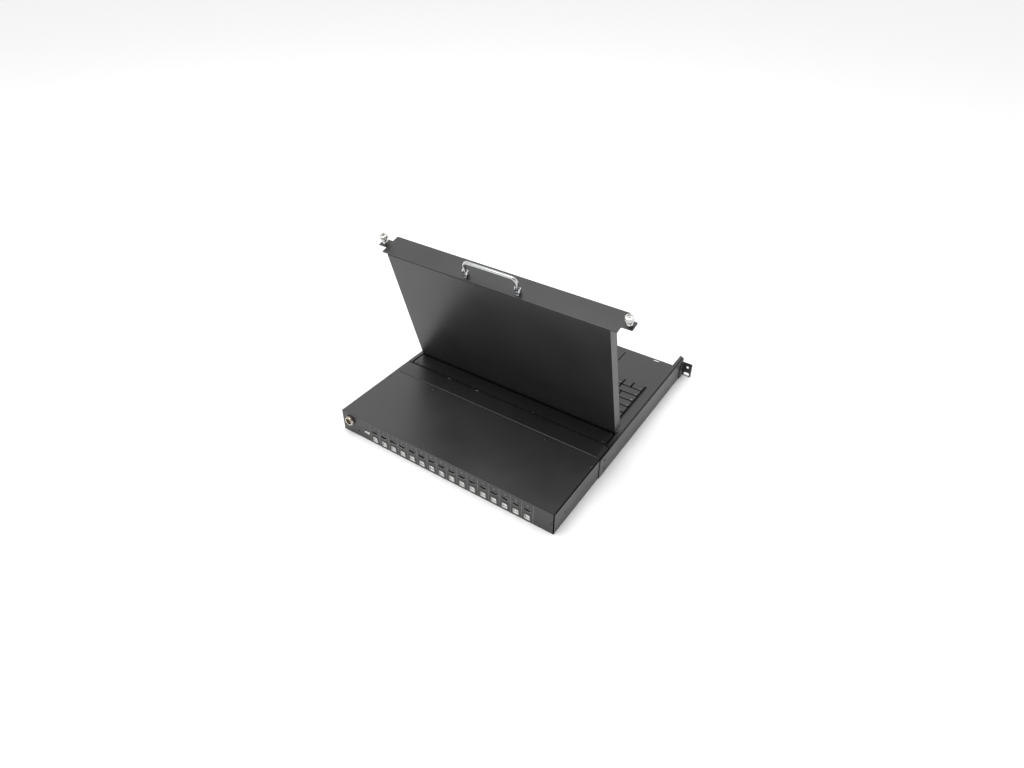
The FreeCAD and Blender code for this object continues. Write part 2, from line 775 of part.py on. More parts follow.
def stem_guide(row, base_bottom):
    """Slot along a row in the base plate that the stems of its keys run in."""
    places = key_places(row)
    half = stem_size / 2 + stem_play
    first, last, y = places[0][0], places[-1][0], places[0][1]
    return block(first - half, last + half, y - half, y + half, base_bottom, base_top)


def key_places(row):
    """Middle of each key in a row and its width."""
    y = rim_front + keyboard_rim + keyboard_margin + (row + 0.5) * key_pitch
    left = -key_field_x
    places = []
    for units in key_rows[row]:
        width = units * key_pitch
        places.append((left + width / 2, y, width))
        left += width
    return places


def key(x, y, width):
    """Tapered cap on a square stem that runs in the base plate."""
    half_x = (width - key_gap) / 2
    half_y = (key_pitch - key_gap) / 2
    cap = Part.makeWedge(-half_x, 0, -half_y, key_taper - half_y, key_taper - half_x,
                         half_x, key_height, half_y, half_y - key_taper, half_x - key_taper)
    cap.rotate(Vector(0, 0, 0), Vector(1, 0, 0), 90)
    cap.translate(Vector(x, y, key_bottom))
    half = stem_size / 2
    stem = block(x - half, x + half, y - half, y + half, base_top - stem_hold, key_bottom)
    return cap.fuse(stem).removeSplitter()


def touchpad_panel():
    top = deck_z + pad_panel_rise
    ledge_bottom = deck_z - 2 * deck_sheet
    plate = rounded_plate(*pad_panel_bounds(0), ledge_bottom, top, pad_panel_corner)
    ledge = block(*pad_panel_bounds(pad_panel_ledge), ledge_bottom, deck_z - deck_sheet)
    x0, x1, y0, y1 = pad_bounds()
    pocket = rounded_plate(x0 - pad_play, x1 + pad_play, y0 - pad_play, y1 + pad_play,
                           top - pad_pocket, top, pad_corner + pad_play)
    wells = []
    for side in (-1, 1):
        x0, x1, y0, y1 = pad_button_bounds(side)
        wells.append(block(x0 - pad_play, x1 + pad_play, y0 - pad_play, y1 + pad_play, ledge_bottom, top))
    return plate.fuse(ledge).removeSplitter().cut([pocket] + wells)


def pad_bounds():
    rear = pad_panel_front + pad_panel_depth - pad_rear_inset
    return -pad_width / 2, pad_width / 2, rear - pad_depth, rear


def pad_button_bounds(side):
    front = pad_panel_front + pad_button_front_inset
    near, far = pad_button_split / 2, pad_width / 2
    x0, x1 = (near, far) if side > 0 else (-far, -near)
    return x0, x1, front, front + pad_button_depth


def touchpad_pad():
    top = deck_z + pad_panel_rise
    return rounded_plate(*pad_bounds(), top - pad_pocket, top - pad_sunk, pad_corner)


def touchpad_button(side):
    top = deck_z + pad_panel_rise + pad_button_rise
    shape = block(*pad_button_bounds(side), top - pad_button_height, top)
    edges = [e for e in shape.Edges if abs(e.CenterOfMass.z - top) < 1e-6]
    return shape.makeChamfer(pad_button_chamfer, edges)


# ---------------------------------------------------------------- hinges
def hinge_bracket():
    """Lug with a bore on a foot that stands on the deck."""
    centre = Vector(lug_inner_x, hinge_y, hinge_z)
    across = Vector(hinge_lug, 0, 0)
    eye = flat_sided(hinge_lug_radius, centre, centre + across, hinge_sides)
    r = hinge_lug_radius
    leg = polygon([Vector(lug_inner_x, hinge_y - r, hinge_z), Vector(lug_inner_x, hinge_y + r, hinge_z),
                   Vector(lug_inner_x, hinge_y + hinge_foot_depth / 2, deck_z),
                   Vector(lug_inner_x, hinge_y - hinge_foot_depth / 2, deck_z)]).extrude(across)
    foot = block(lug_inner_x, lug_inner_x + hinge_foot_width, hinge_y - hinge_foot_depth / 2,
                 hinge_y + hinge_foot_depth / 2, deck_z, deck_z + hinge_foot)
    shape = eye.fuse([leg, foot]).removeSplitter()
    return shape.cut(rod(hinge_pin_diameter / 2 + hinge_pin_play, centre, centre + across))


def hinge_arm():
    """Pin through the lug, fixed to a strap inside the lid."""
    plate_x = lid_x - lid_notch_width - lid_sheet
    strap = lid_block(plate_x - hinge_arm_sheet, plate_x, -lid_heel + lid_sheet + hinge_arm_heel_gap,
                      hinge_arm_reach, hinge_depth - hinge_arm_back, hinge_depth + hinge_arm_front)
    head_x = lug_inner_x + hinge_lug + hinge_head_gap
    pin = rod(hinge_pin_diameter / 2, Vector(plate_x - hinge_arm_sheet, hinge_y, hinge_z),
              Vector(head_x, hinge_y, hinge_z))
    head = flat_sided(hinge_head_diameter / 2, Vector(head_x, hinge_y, hinge_z),
                      Vector(head_x + hinge_head, hinge_y, hinge_z), round_sides)
    return strap.fuse([pin, head]).removeSplitter()


# ---------------------------------------------------------------- lid
def lid_prism(shrink, depth):
    """The lid's solid outline, drawn in from all sides by shrink, with the hinge corners cut."""
    heel, end = -lid_heel + shrink, lid_end - shrink
    slope = lid_bend_drop / (lid_bend + lid_heel)
    back = shrink
    heel_t = lid_bend_drop - slope * shrink + shrink
    half = lid_x - shrink
    profile = [(heel, heel_t), (lid_bend, back), (end, back), (end, depth), (heel, depth)]
    face = polygon([lid_point(-half, s, t) for s, t in profile])
    body = face.extrude(Vector(2 * half, 0, 0))
    reach = lid_notch_reach + shrink
    corner = lid_block(lid_x - lid_notch_width - shrink, lid_x, -lid_heel, reach, 0, lid_thickness)
    return body.cut(both(corner))


def lid_back_cover():
    skirt = lid_thickness - frame_sheet
    pin_hole = flat_sided(hinge_pin_diameter / 2 + hinge_hole_play, Vector(-lid_x, hinge_y, hinge_z),
                          Vector(lid_x, hinge_y, hinge_z), hinge_sides)
    holes = [screw_hole(at - Vector(0, 0, lid_sheet), at) for at in lid_screw_places()]
    return lid_prism(0, skirt).cut([lid_prism(lid_sheet, skirt), pin_hole] + holes)


def lid_screw_places():
    xs = (lid_screw_left_inset - lid_x, lid_screw_middle_x, lid_x - lid_screw_right_inset)
    return [lid_point(x, lid_screw_reach, 0) for x in xs]


def lid_screws():
    return [screw(at, Vector(0, 0, 1)) for at in lid_screw_places()]


def osd_xs():
    last = lid_x - osd_inset
    return [last - osd_pitch * i for i in reversed(range(osd_count))]


def screen_frame():
    skirt = lid_thickness - frame_sheet
    front_layer = lid_block(-lid_x, lid_x, -lid_heel, lid_end, skirt, lid_thickness)
    plate = lid_prism(0, lid_thickness).common(front_layer)
    half, low, high = window_x, window_start, window_end
    inner = [lid_point(x, s, skirt) for x, s in ((-half, low), (half, low), (half, high), (-half, high))]
    grow = window_bevel
    wide = ((-half - grow, low - grow), (half + grow, low - grow), (half + grow, high + grow),
            (-half - grow, high + grow))
    outer = [lid_point(x, s, lid_thickness) for x, s in wide]
    outlines = [Part.makePolygon(points + [points[0]]) for points in (inner, outer)]
    bevelled = Part.makeLoft(outlines, True, True)
    half_x, half_s = osd_width / 2 + osd_play, osd_depth / 2 + osd_play
    holes = [lid_block(x - half_x, x + half_x, osd_reach - half_s, osd_reach + half_s, skirt, lid_thickness)
             for x in osd_xs()]
    catch_s = hinge_y - latch_slot_y
    half_x, half_s = catch_width / 2, catch_sheet / 2
    catch = lid_block(latch_slot_x - half_x, latch_slot_x + half_x, catch_s - half_s, catch_s + half_s,
                      lid_thickness, lid_thickness + catch_length)
    return plate.cut([bevelled] + holes).fuse(both(catch)).removeSplitter()


def lcd_panel():
    half = window_x + panel_border
    front = lid_thickness - frame_sheet
    return lid_block(-half, half, window_start - panel_border, window_end + panel_border,
                     front - panel_depth, front)


def osd_button(x):
    front = lid_thickness + osd_rise
    half_x, half_s = osd_width / 2, osd_depth / 2
    shape = lid_block(x - half_x, x + half_x, osd_reach - half_s, osd_reach + half_s,
                      front - osd_height, front)
    z = lid_back_z - front
    edges = [e for e in shape.Edges if abs(e.CenterOfMass.z - z) < 1e-6]
    return shape.makeChamfer(osd_chamfer, edges)


# ---------------------------------------------------------------- bezel and handle
def front_bezel():
    """Plate across the end of the lid with a rack ear at each side."""
    half, tip = bezel_x, ear_span / 2
    low, high = thumb_t - bezel_ear_height / 2, thumb_t + bezel_ear_height / 2
    lower = [(half - bezel_chamfer, 0), (half, bezel_chamfer), (half, low - bezel_notch),
             (half + bezel_notch, low), (tip, low)]
    upper = [(tip, high), (half + bezel_notch, high), (half, high + bezel_notch),
             (half, bezel_height - bezel_chamfer), (half - bezel_chamfer, bezel_height)]
    right = lower + upper
    left = [(-x, t) for x, t in reversed(right)]
    face = polygon([lid_point(x, face_s, t) for x, t in right + left])
    plate = face.extrude(Vector(0, bezel_sheet, 0))
    short = [e for e in plate.Edges if e.Length < bezel_sheet * 1.5]
    tips = [e for e in short if abs(abs(e.CenterOfMass.x) - tip) < 1e-6]
    plate = plate.makeChamfer(bezel_ear_corner, tips)
    hole = flat_sided(ferrule_spigot / 2, thumb_axis(rack_hole_x, lid_end), thumb_axis(rack_hole_x, face_s),
                      round_sides)
    return plate.cut(both(hole))


def handle_post(x):
    """Slotted post with a rounded top and a cross pin, standing on the bezel."""
    radius = fork_diameter / 2
    foot = lid_point(x, face_s, handle_inset)
    pivot = lid_point(x, face_s + handle_pivot_rise, handle_inset)
    across = Vector(radius, 0, 0)
    post = flat_sided(radius, foot, pivot - Vector(0, radius, 0), handle_sides)
    side_view = flat_sided(radius, pivot - across, pivot + across, handle_sides)
    side_view = side_view.fuse(block(x - radius, x + radius, pivot.y, foot.y,
                                     foot.z - radius, foot.z + radius))
    half = handle_rod / 2 + fork_gap
    slot = block(x - half, x + half, pivot.y - radius, foot.y - fork_base, foot.z - radius, foot.z + radius)
    pin = rod(handle_pin_diameter / 2, pivot - Vector(half, 0, 0), pivot + Vector(half, 0, 0))
    return post.common(side_view).cut(slot).fuse(pin).removeSplitter()


def handle_bail():
    """U-shaped round rod with bent corners; its legs turn on the pins of the posts."""
    radius, half, bend = handle_rod / 2, handle_spacing / 2, handle_bend
    pivot_s = face_s + handle_pivot_rise
    bar_s = pivot_s + handle_reach
    t = handle_inset
    leg_end = lid_point(half, bar_s - bend, t)
    leg = flat_sided(radius, lid_point(half, pivot_s - radius, t), leg_end, handle_sides)
    section = [f for f in leg.Faces if abs(f.CenterOfMass.y - leg_end.y) < 1e-6][0]
    corner = section.revolve(lid_point(half - bend, bar_s - bend, t), Vector(0, 0, 1), -90)
    bar_section = [f for f in corner.Faces if abs(f.CenterOfMass.x - half + bend) < 1e-6][0]
    bar = bar_section.extrude(Vector(2 * (bend - half), 0, 0))
    flats = ((half - radius, half - handle_flat), (half + handle_flat, half + radius))
    beside = [lid_block(x0, x1, pivot_s - radius, pivot_s + handle_flat_length, t - radius, t + radius)
              for x0, x1 in flats]
    bore = rod(handle_pin_diameter / 2 + handle_pin_play, lid_point(half - radius, pivot_s, t),
               lid_point(half + radius, pivot_s, t))
    side = leg.fuse(corner).cut(beside + [bore])
    return bar.fuse(both(side)).removeSplitter()


# ---------------------------------------------------------------- thumbscrews
def thumb_axis(x, s):
    return lid_point(x, s, thumb_t)


def thumbscrew_ferrule():
    x, top = rack_hole_x, face_s + ferrule_height
    body = flat_sided(ferrule_diameter / 2, thumb_axis(x, face_s), thumb_axis(x, top), round_sides)
    spigot = flat_sided(ferrule_spigot / 2, thumb_axis(x, lid_end), thumb_axis(x, face_s), round_sides)
    bore = flat_sided(sleeve_diameter / 2 + ferrule_play, thumb_axis(x, lid_end), thumb_axis(x, top),
                      round_sides)
    return body.fuse(spigot).removeSplitter().cut(bore)


def thumbscrew_sleeve():
    x, top = rack_hole_x, face_s + thumb_rise
    tube = flat_sided(sleeve_diameter / 2, thumb_axis(x, top - sleeve_length), thumb_axis(x, top),
                      round_sides)
    return tube.cut(rod(thumb_shank_diameter / 2 + thumb_play, thumb_axis(x, top - sleeve_length),
                        thumb_axis(x, top)))


def thumbscrew_knob():
    x, bottom = rack_hole_x, face_s + thumb_rise
    top = bottom + thumb_head_height
    head = flat_sided(thumb_head_diameter / 2, thumb_axis(x, bottom), thumb_axis(x, top), thumb_head_sides)
    recess = flat_sided(thumb_recess_diameter / 2, thumb_axis(x, top - thumb_recess), thumb_axis(x, top),
                        round_sides)
    shank = rod(thumb_shank_diameter / 2, thumb_axis(x, lid_end + thumb_tip), thumb_axis(x, bottom))
    return head.cut(recess).fuse(shank).removeSplitter()


# ---------------------------------------------------------------- write every piece
for side in ("left", "right"):
    save(side + "_rail", on_side(rail(), side))
    save(side + "_rack_ear", on_side(rack_ear(), side))
    save(side + "_slide_outer", on_side(slide_outer(), side))
    save(side + "_slide_middle", on_side(slide_middle(), side))
    save(side + "_slide_inner", on_side(slide_inner(), side))
    save(side + "_hinge_bracket", on_side(hinge_bracket(), side))
    save(side + "_hinge_arm", opened(on_side(hinge_arm(), side)))
    save(side + "_thumbscrew_sleeve", opened(on_side(thumbscrew_sleeve(), side)))
    save(side + "_thumbscrew_knob", opened(on_side(thumbscrew_knob(), side)))
    save("touchpad_" + side + "_button", touchpad_button(1 if side == "right" else -1))

save("frame_screws", *frame_screws())
save("module_base", module_base())
save("module_board", module_board())
save("module_rear_panel", module_rear_panel())
save("module_top_cover", module_top_cover())
save("module_front_strip", module_front_strip())
save("module_screws", *module_screws())
save("hdmi_shells", *[hdmi_shell(x) for x in port_xs()])
save("hdmi_tongues", *[hdmi_tongue(x) for x in port_xs()])
save("usb_b_shells", *[usb_b_shell(x) for x in port_xs()])
save("usb_b_inserts", *[usb_b_insert(x) for x in port_xs()])
save("usb_a_shell", usb_a_shell())
save("usb_a_tongue", usb_a_tongue())
save("power_socket_shell", power_socket_shell())
save("power_socket_insert", power_socket_insert())
save("power_socket_nut", power_socket_nut())

save("tray_pan", tray_pan())
save("deck_panel", deck_panel())
save("hinge_cover", hinge_cover())
save("drawer_screws", *drawer_screws())
save("keyboard_base", keyboard_base())
for row in range(len(key_rows)):
    save("key_row_%d" % (row + 1), *[key(x, y, width) for x, y, width in key_places(row)])
save("touchpad_panel", touchpad_panel())
save("touchpad_pad", touchpad_pad())

save("lid_back_cover", opened(lid_back_cover()))
save("lid_screws", *[opened(s) for s in lid_screws()])
save("screen_frame", opened(screen_frame()))
save("lcd_panel", opened(lcd_panel()))
for number, x in enumerate(osd_xs()):
    save("osd_button_%d" % (number + 1), opened(osd_button(x)))
save("front_bezel", opened(front_bezel()))
save("handle_posts", *[opened(handle_post(sign * handle_spacing / 2)) for sign in (-1, 1)])
save("handle_bail", opened(handle_bail()))
save("thumbscrew_ferrules", *[opened(s) for s in both(thumbscrew_ferrule())])
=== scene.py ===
import json
import math
import bmesh
import bpy
from mathutils import Matrix, Vector

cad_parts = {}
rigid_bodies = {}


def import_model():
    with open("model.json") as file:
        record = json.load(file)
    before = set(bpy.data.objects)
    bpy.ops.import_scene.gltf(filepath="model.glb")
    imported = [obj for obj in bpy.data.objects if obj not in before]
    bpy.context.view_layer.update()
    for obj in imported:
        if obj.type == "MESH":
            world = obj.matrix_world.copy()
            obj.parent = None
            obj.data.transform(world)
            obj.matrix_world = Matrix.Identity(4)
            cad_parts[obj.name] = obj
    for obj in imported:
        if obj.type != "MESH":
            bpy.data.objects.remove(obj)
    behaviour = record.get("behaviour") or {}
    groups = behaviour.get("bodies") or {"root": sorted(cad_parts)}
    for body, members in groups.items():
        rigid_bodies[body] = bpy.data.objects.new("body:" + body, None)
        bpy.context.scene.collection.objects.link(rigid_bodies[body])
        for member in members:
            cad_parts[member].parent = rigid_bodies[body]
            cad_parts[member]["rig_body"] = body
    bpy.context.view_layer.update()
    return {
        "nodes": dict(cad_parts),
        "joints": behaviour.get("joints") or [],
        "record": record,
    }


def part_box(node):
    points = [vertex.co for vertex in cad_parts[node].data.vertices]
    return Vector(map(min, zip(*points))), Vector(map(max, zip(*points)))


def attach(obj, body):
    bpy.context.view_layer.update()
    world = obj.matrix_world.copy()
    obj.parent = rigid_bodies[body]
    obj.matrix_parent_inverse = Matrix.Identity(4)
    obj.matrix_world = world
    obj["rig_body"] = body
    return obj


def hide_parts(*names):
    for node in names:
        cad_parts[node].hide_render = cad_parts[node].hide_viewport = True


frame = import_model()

# One-unit rack console drawer, drawer home and lid open.
# X is the user's right, Y runs to the rear, Z is up, all in metres.

nodes = frame["nodes"]
mm = 0.001
crispAngle = 30   # degrees; sharper edges of turned parts aren't shaded smooth
slotOf = {part["node"]: part["material_slot"] for part in frame["record"]["subparts"]}
hingeJoint = next(joint for joint in frame["joints"] if joint["name"] == "lid_hinge")
lidHinge = Vector(hingeJoint["pos_m"])
openAngle = math.radians(-hingeJoint["range_deg"][0])
alongLid = Vector((0, -math.cos(openAngle), math.sin(openAngle)))
towardsScreen = Vector((0, -math.sin(openAngle), -math.cos(openAngle)))
lidSizes = {"hingeDepth": 10.0, "bezelFace": 270.3}   # mm, axis below the back; bezel's face from the axis
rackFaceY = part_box("left_rack_ear")[0].y / mm + 1.6   # the ears' sheet stands ahead of the rack's face
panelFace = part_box("module_rear_panel")[1].y / mm
print("frame loaded:", len(nodes), "nodes")


# small helpers

def nodeIn(tree, kind, settings=None, inputs=None):
    made = tree.nodes.new(kind)
    for key, value in (settings or {}).items():
        setattr(made, key, value)
    for key, value in (inputs or {}).items():
        if isinstance(value, bpy.types.NodeSocket):
            tree.links.new(value, made.inputs[key])
        else:
            made.inputs[key].default_value = value
    return made


def placed(name, mesh):
    piece = bpy.data.objects.new(name, mesh)
    bpy.context.scene.collection.objects.link(piece)
    return piece


def settled(raw):
    # the object's mesh with its modifiers applied; the object itself goes
    bpy.context.view_layer.update()
    mesh = bpy.data.meshes.new_from_object(raw.evaluated_get(bpy.context.evaluated_depsgraph_get()))
    bpy.data.objects.remove(raw)
    return mesh


def fromBmesh(shape):
    bmesh.ops.recalc_face_normals(shape, faces=shape.faces)
    mesh = bpy.data.meshes.new("blank")
    shape.to_mesh(mesh)
    shape.free()
    return mesh


def smooth(mesh, degrees=35):
    mesh.polygons.foreach_set("use_smooth", [True] * len(mesh.polygons))
    mesh.set_sharp_from_angle(angle=math.radians(degrees))
    return mesh


def coated(mesh, *names):
    mesh.materials.clear()
    for name in names:
        mesh.materials.append(finishes[name])
    return mesh


def fitted(name, mesh, body, slotName, *stoodFor):
    piece = placed(name, mesh)
    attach(piece, body)
    if stoodFor:
        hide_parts(*stoodFor)


def boxShape(low, high):
    # corners in mm
    shape = bmesh.new()
    bmesh.ops.create_cube(shape, size=1)
    low, high = Vector(low) * mm, Vector(high) * mm
    middle, size = (low + high) / 2, high - low
    for vert in shape.verts:
        vert.co = Vector([middle[i] + vert.co[i] * size[i] for i in range(3)])
    return fromBmesh(shape)


def skinned(loops):
    # closed loops of points in mm, joined side to side and capped at both ends
    shape = bmesh.new()
    rings = [[shape.verts.new([number * mm for number in point]) for point in loop] for loop in loops]
    shape.faces.new(rings[0])
    shape.faces.new(rings[-1])
    for low, high in zip(rings, rings[1:]):
        for i in range(len(low)):
            shape.faces.new((low[i - 1], low[i], high[i], high[i - 1]))
    return fromBmesh(shape)


def turned(profile, sides, ring=False):
    # profile is (radius, height) in mm from the bottom up; a ring's profile closes on itself
    shape = bmesh.new()
    turns = [2 * math.pi * i / sides for i in range(sides)]
    loops = []
    for radius, height in profile:
        if radius == 0:
            loops.append([shape.verts.new((0, 0, height * mm))] * sides)
        else:
            loops.append([shape.verts.new((radius * mm * math.cos(turn), radius * mm * math.sin(turn),
                                           height * mm)) for turn in turns])
    pairs = list(zip(loops, loops[1:]))
    if ring:
        pairs.append((loops[-1], loops[0]))
    for low, high in pairs:
        for i in range(sides):
            corners = []
            for vert in (low[i], low[i - 1], high[i - 1], high[i]):
                if vert not in corners:
                    corners.append(vert)
            shape.faces.new(corners)
    return fromBmesh(shape)


def carved(mesh, other, operation="DIFFERENCE"):
    blank, tool = placed("blank", mesh), placed("tool", other)
    cut = blank.modifiers.new("cut", "BOOLEAN")
    cut.operation, cut.solver, cut.object = operation, "EXACT", tool
    result = settled(blank)
    bpy.data.objects.remove(tool)
    return result


def crossCut(mesh, long, wide, low, high):
    # a cross recess between two heights, mm
    for x, y in ((long / 2, wide / 2), (wide / 2, long / 2)):
        mesh = carved(mesh, boxShape((-x, -y, low), (x, y, high)))
    return mesh


def bevelled(mesh, width, degrees=40, edgeFinish=0):
    blank = placed("blank", mesh)
    edge = blank.modifiers.new("edge", "BEVEL")
    edge.width, edge.segments = width * mm, 2
    edge.limit_method, edge.angle_limit = "ANGLE", math.radians(degrees)
    edge.harden_normals = True
    edge.material = edgeFinish
    smooth(mesh, degrees)
    return settled(blank)


def moved(mesh, matrix):
    mesh.transform(matrix)
    return mesh


def joined(meshes):
    shape = bmesh.new()
    for mesh in meshes:
        shape.from_mesh(mesh)
    result = bpy.data.meshes.new("joined")
    shape.to_mesh(result)
    shape.free()
    return result


def rackPoint(x, y, z):
    # mm, y measured back from the rack's face
    return Vector((x, y + rackFaceY, z)) * mm


def lidPoint(x, along, depth):
    # x, distance from the hinge along the lid, depth below the lid's back, all in mm
    below = depth - lidSizes["hingeDepth"]
    return lidHinge + (Vector((x, 0, 0)) + alongLid * along + towardsScreen * below) * mm


def turnedTo(xAxis, yAxis, zAxis, origin):
    matrix = Matrix((xAxis, yAxis, zAxis)).transposed().to_4x4()
    matrix.translation = origin
    return matrix


def lidPlace(x, along, depth):
    return turnedTo(Vector((1, 0, 0)), -towardsScreen, alongLid, lidPoint(x, along, depth))


def rearPlace(x, z):
    # upright on the rear panel's face, reading from behind
    return turnedTo(Vector((-1, 0, 0)), Vector((0, 0, 1)), Vector((0, 1, 0)), Vector((x, panelFace, z)) * mm)


# geometry node trees

def newTree(name, inputs):
    tree = bpy.data.node_groups.new(name, "GeometryNodeTree")
    tree.interface.new_socket("Geometry", in_out="INPUT", socket_type="NodeSocketGeometry")
    for label, kind in inputs:
        tree.interface.new_socket(label, in_out="INPUT", socket_type="NodeSocket" + kind)
    tree.interface.new_socket("Geometry", in_out="OUTPUT", socket_type="NodeSocketGeometry")
    return tree, nodeIn(tree, "NodeGroupInput").outputs


def endTree(tree, shape, finish):
    real = nodeIn(tree, "GeometryNodeRealizeInstances", inputs={"Geometry": shape})
    painted = nodeIn(tree, "GeometryNodeSetMaterial",
                     inputs={"Geometry": real.outputs[0], "Material": finish})
    nodeIn(tree, "NodeGroupOutput", inputs={"Geometry": painted.outputs[0]})
    return tree


def named(tree, name, kind):
    return nodeIn(tree, "GeometryNodeInputNamedAttribute", {"data_type": kind}, {"Name": name}).outputs[0]


def together(tree, *shapes):
    both = nodeIn(tree, "GeometryNodeJoinGeometry")
    for shape in shapes:
        tree.links.new(shape, both.inputs[0])
    return both.outputs[0]


def grown(mesh, tree, values):
    raw = placed("start", mesh)
    modifier = raw.modifiers.new("shape", "NODES")
    modifier.node_group = tree
    for item in tree.interface.items_tree:
        if item.item_type == "SOCKET" and item.in_out == "INPUT" and item.name in values:
            modifier[item.identifier] = values[item.name]
    return settled(raw)


def pointCloud(points, **attributes):
    mesh = bpy.data.meshes.new("points")
    mesh.from_pydata([tuple(point) for point in points], [], [])
    for name, values in attributes.items():
        if isinstance(values[0], Vector):
            layer = mesh.attributes.new(name, "FLOAT_VECTOR", "POINT")
            layer.data.foreach_set("vector", [number for value in values for number in value])
        else:
            mesh.attributes.new(name, "FLOAT", "POINT").data.foreach_set("value", values)
    return mesh


# finishes

def finishFrom(name, look):
    # two tones in soft patches, a fine grain in the bump and in the gloss
    finish = bpy.data.materials.new(name)
    finish.use_nodes = True
    tree = finish.node_tree
    shader = tree.nodes["Principled BSDF"]
    place = nodeIn(tree, "ShaderNodeTexCoord").outputs["Object"]
    drawn = nodeIn(tree, "ShaderNodeMapping",
                   inputs={"Vector": place, "Scale": look.get("stretch", (1, 1, 1))}).outputs[0]
    patches = nodeIn(tree, "ShaderNodeTexNoise",
                     inputs={"Vector": place, "Scale": look["patches"], "Detail": 4.0})
    grain = nodeIn(tree, "ShaderNodeTexNoise",
                   inputs={"Vector": drawn, "Scale": look["grain"], "Detail": 3.0})
    blend = nodeIn(tree, "ShaderNodeMath", {"operation": "MULTIPLY_ADD"},
                   {0: grain.outputs[0], 1: look.get("grainTone", 0.35), 2: patches.outputs[0]})
    spread = {"Value": blend.outputs[0], "From Min": 0.4, "From Max": 0.95}
    tone = nodeIn(tree, "ShaderNodeMapRange", inputs=spread)
    colour = nodeIn(tree, "ShaderNodeMix", {"data_type": "RGBA"},
                    {0: tone.outputs[0], 6: (*look["dark"], 1), 7: (*look["light"], 1)})
    gloss = nodeIn(tree, "ShaderNodeMapRange",
                   inputs={**spread, "To Min": look["rough"][0], "To Max": look["rough"][1]})
    tree.links.new(colour.outputs[2], shader.inputs["Base Color"])
    tree.links.new(gloss.outputs[0], shader.inputs["Roughness"])
    height = grain.outputs[0]
    if "pits" in look:   # the dimples of sprayed powder, or the sparkle of a moulded skin
        cells = nodeIn(tree, "ShaderNodeTexVoronoi", inputs={"Vector": drawn, "Scale": look["pits"]})
        height = nodeIn(tree, "ShaderNodeMath", {"operation": "ADD"},
                        {0: height, 1: cells.outputs["Distance"]}).outputs[0]
    bump = nodeIn(tree, "ShaderNodeBump",
                  inputs={"Height": height, "Strength": 1.0, "Distance": look["bump"] * mm})
    tree.links.new(bump.outputs[0], shader.inputs["Normal"])
    shader.inputs["Metallic"].default_value = look.get("metallic", 0.0)
    for socket, value in look.get("shader", {}).items():
        shader.inputs[socket].default_value = value
    return finish


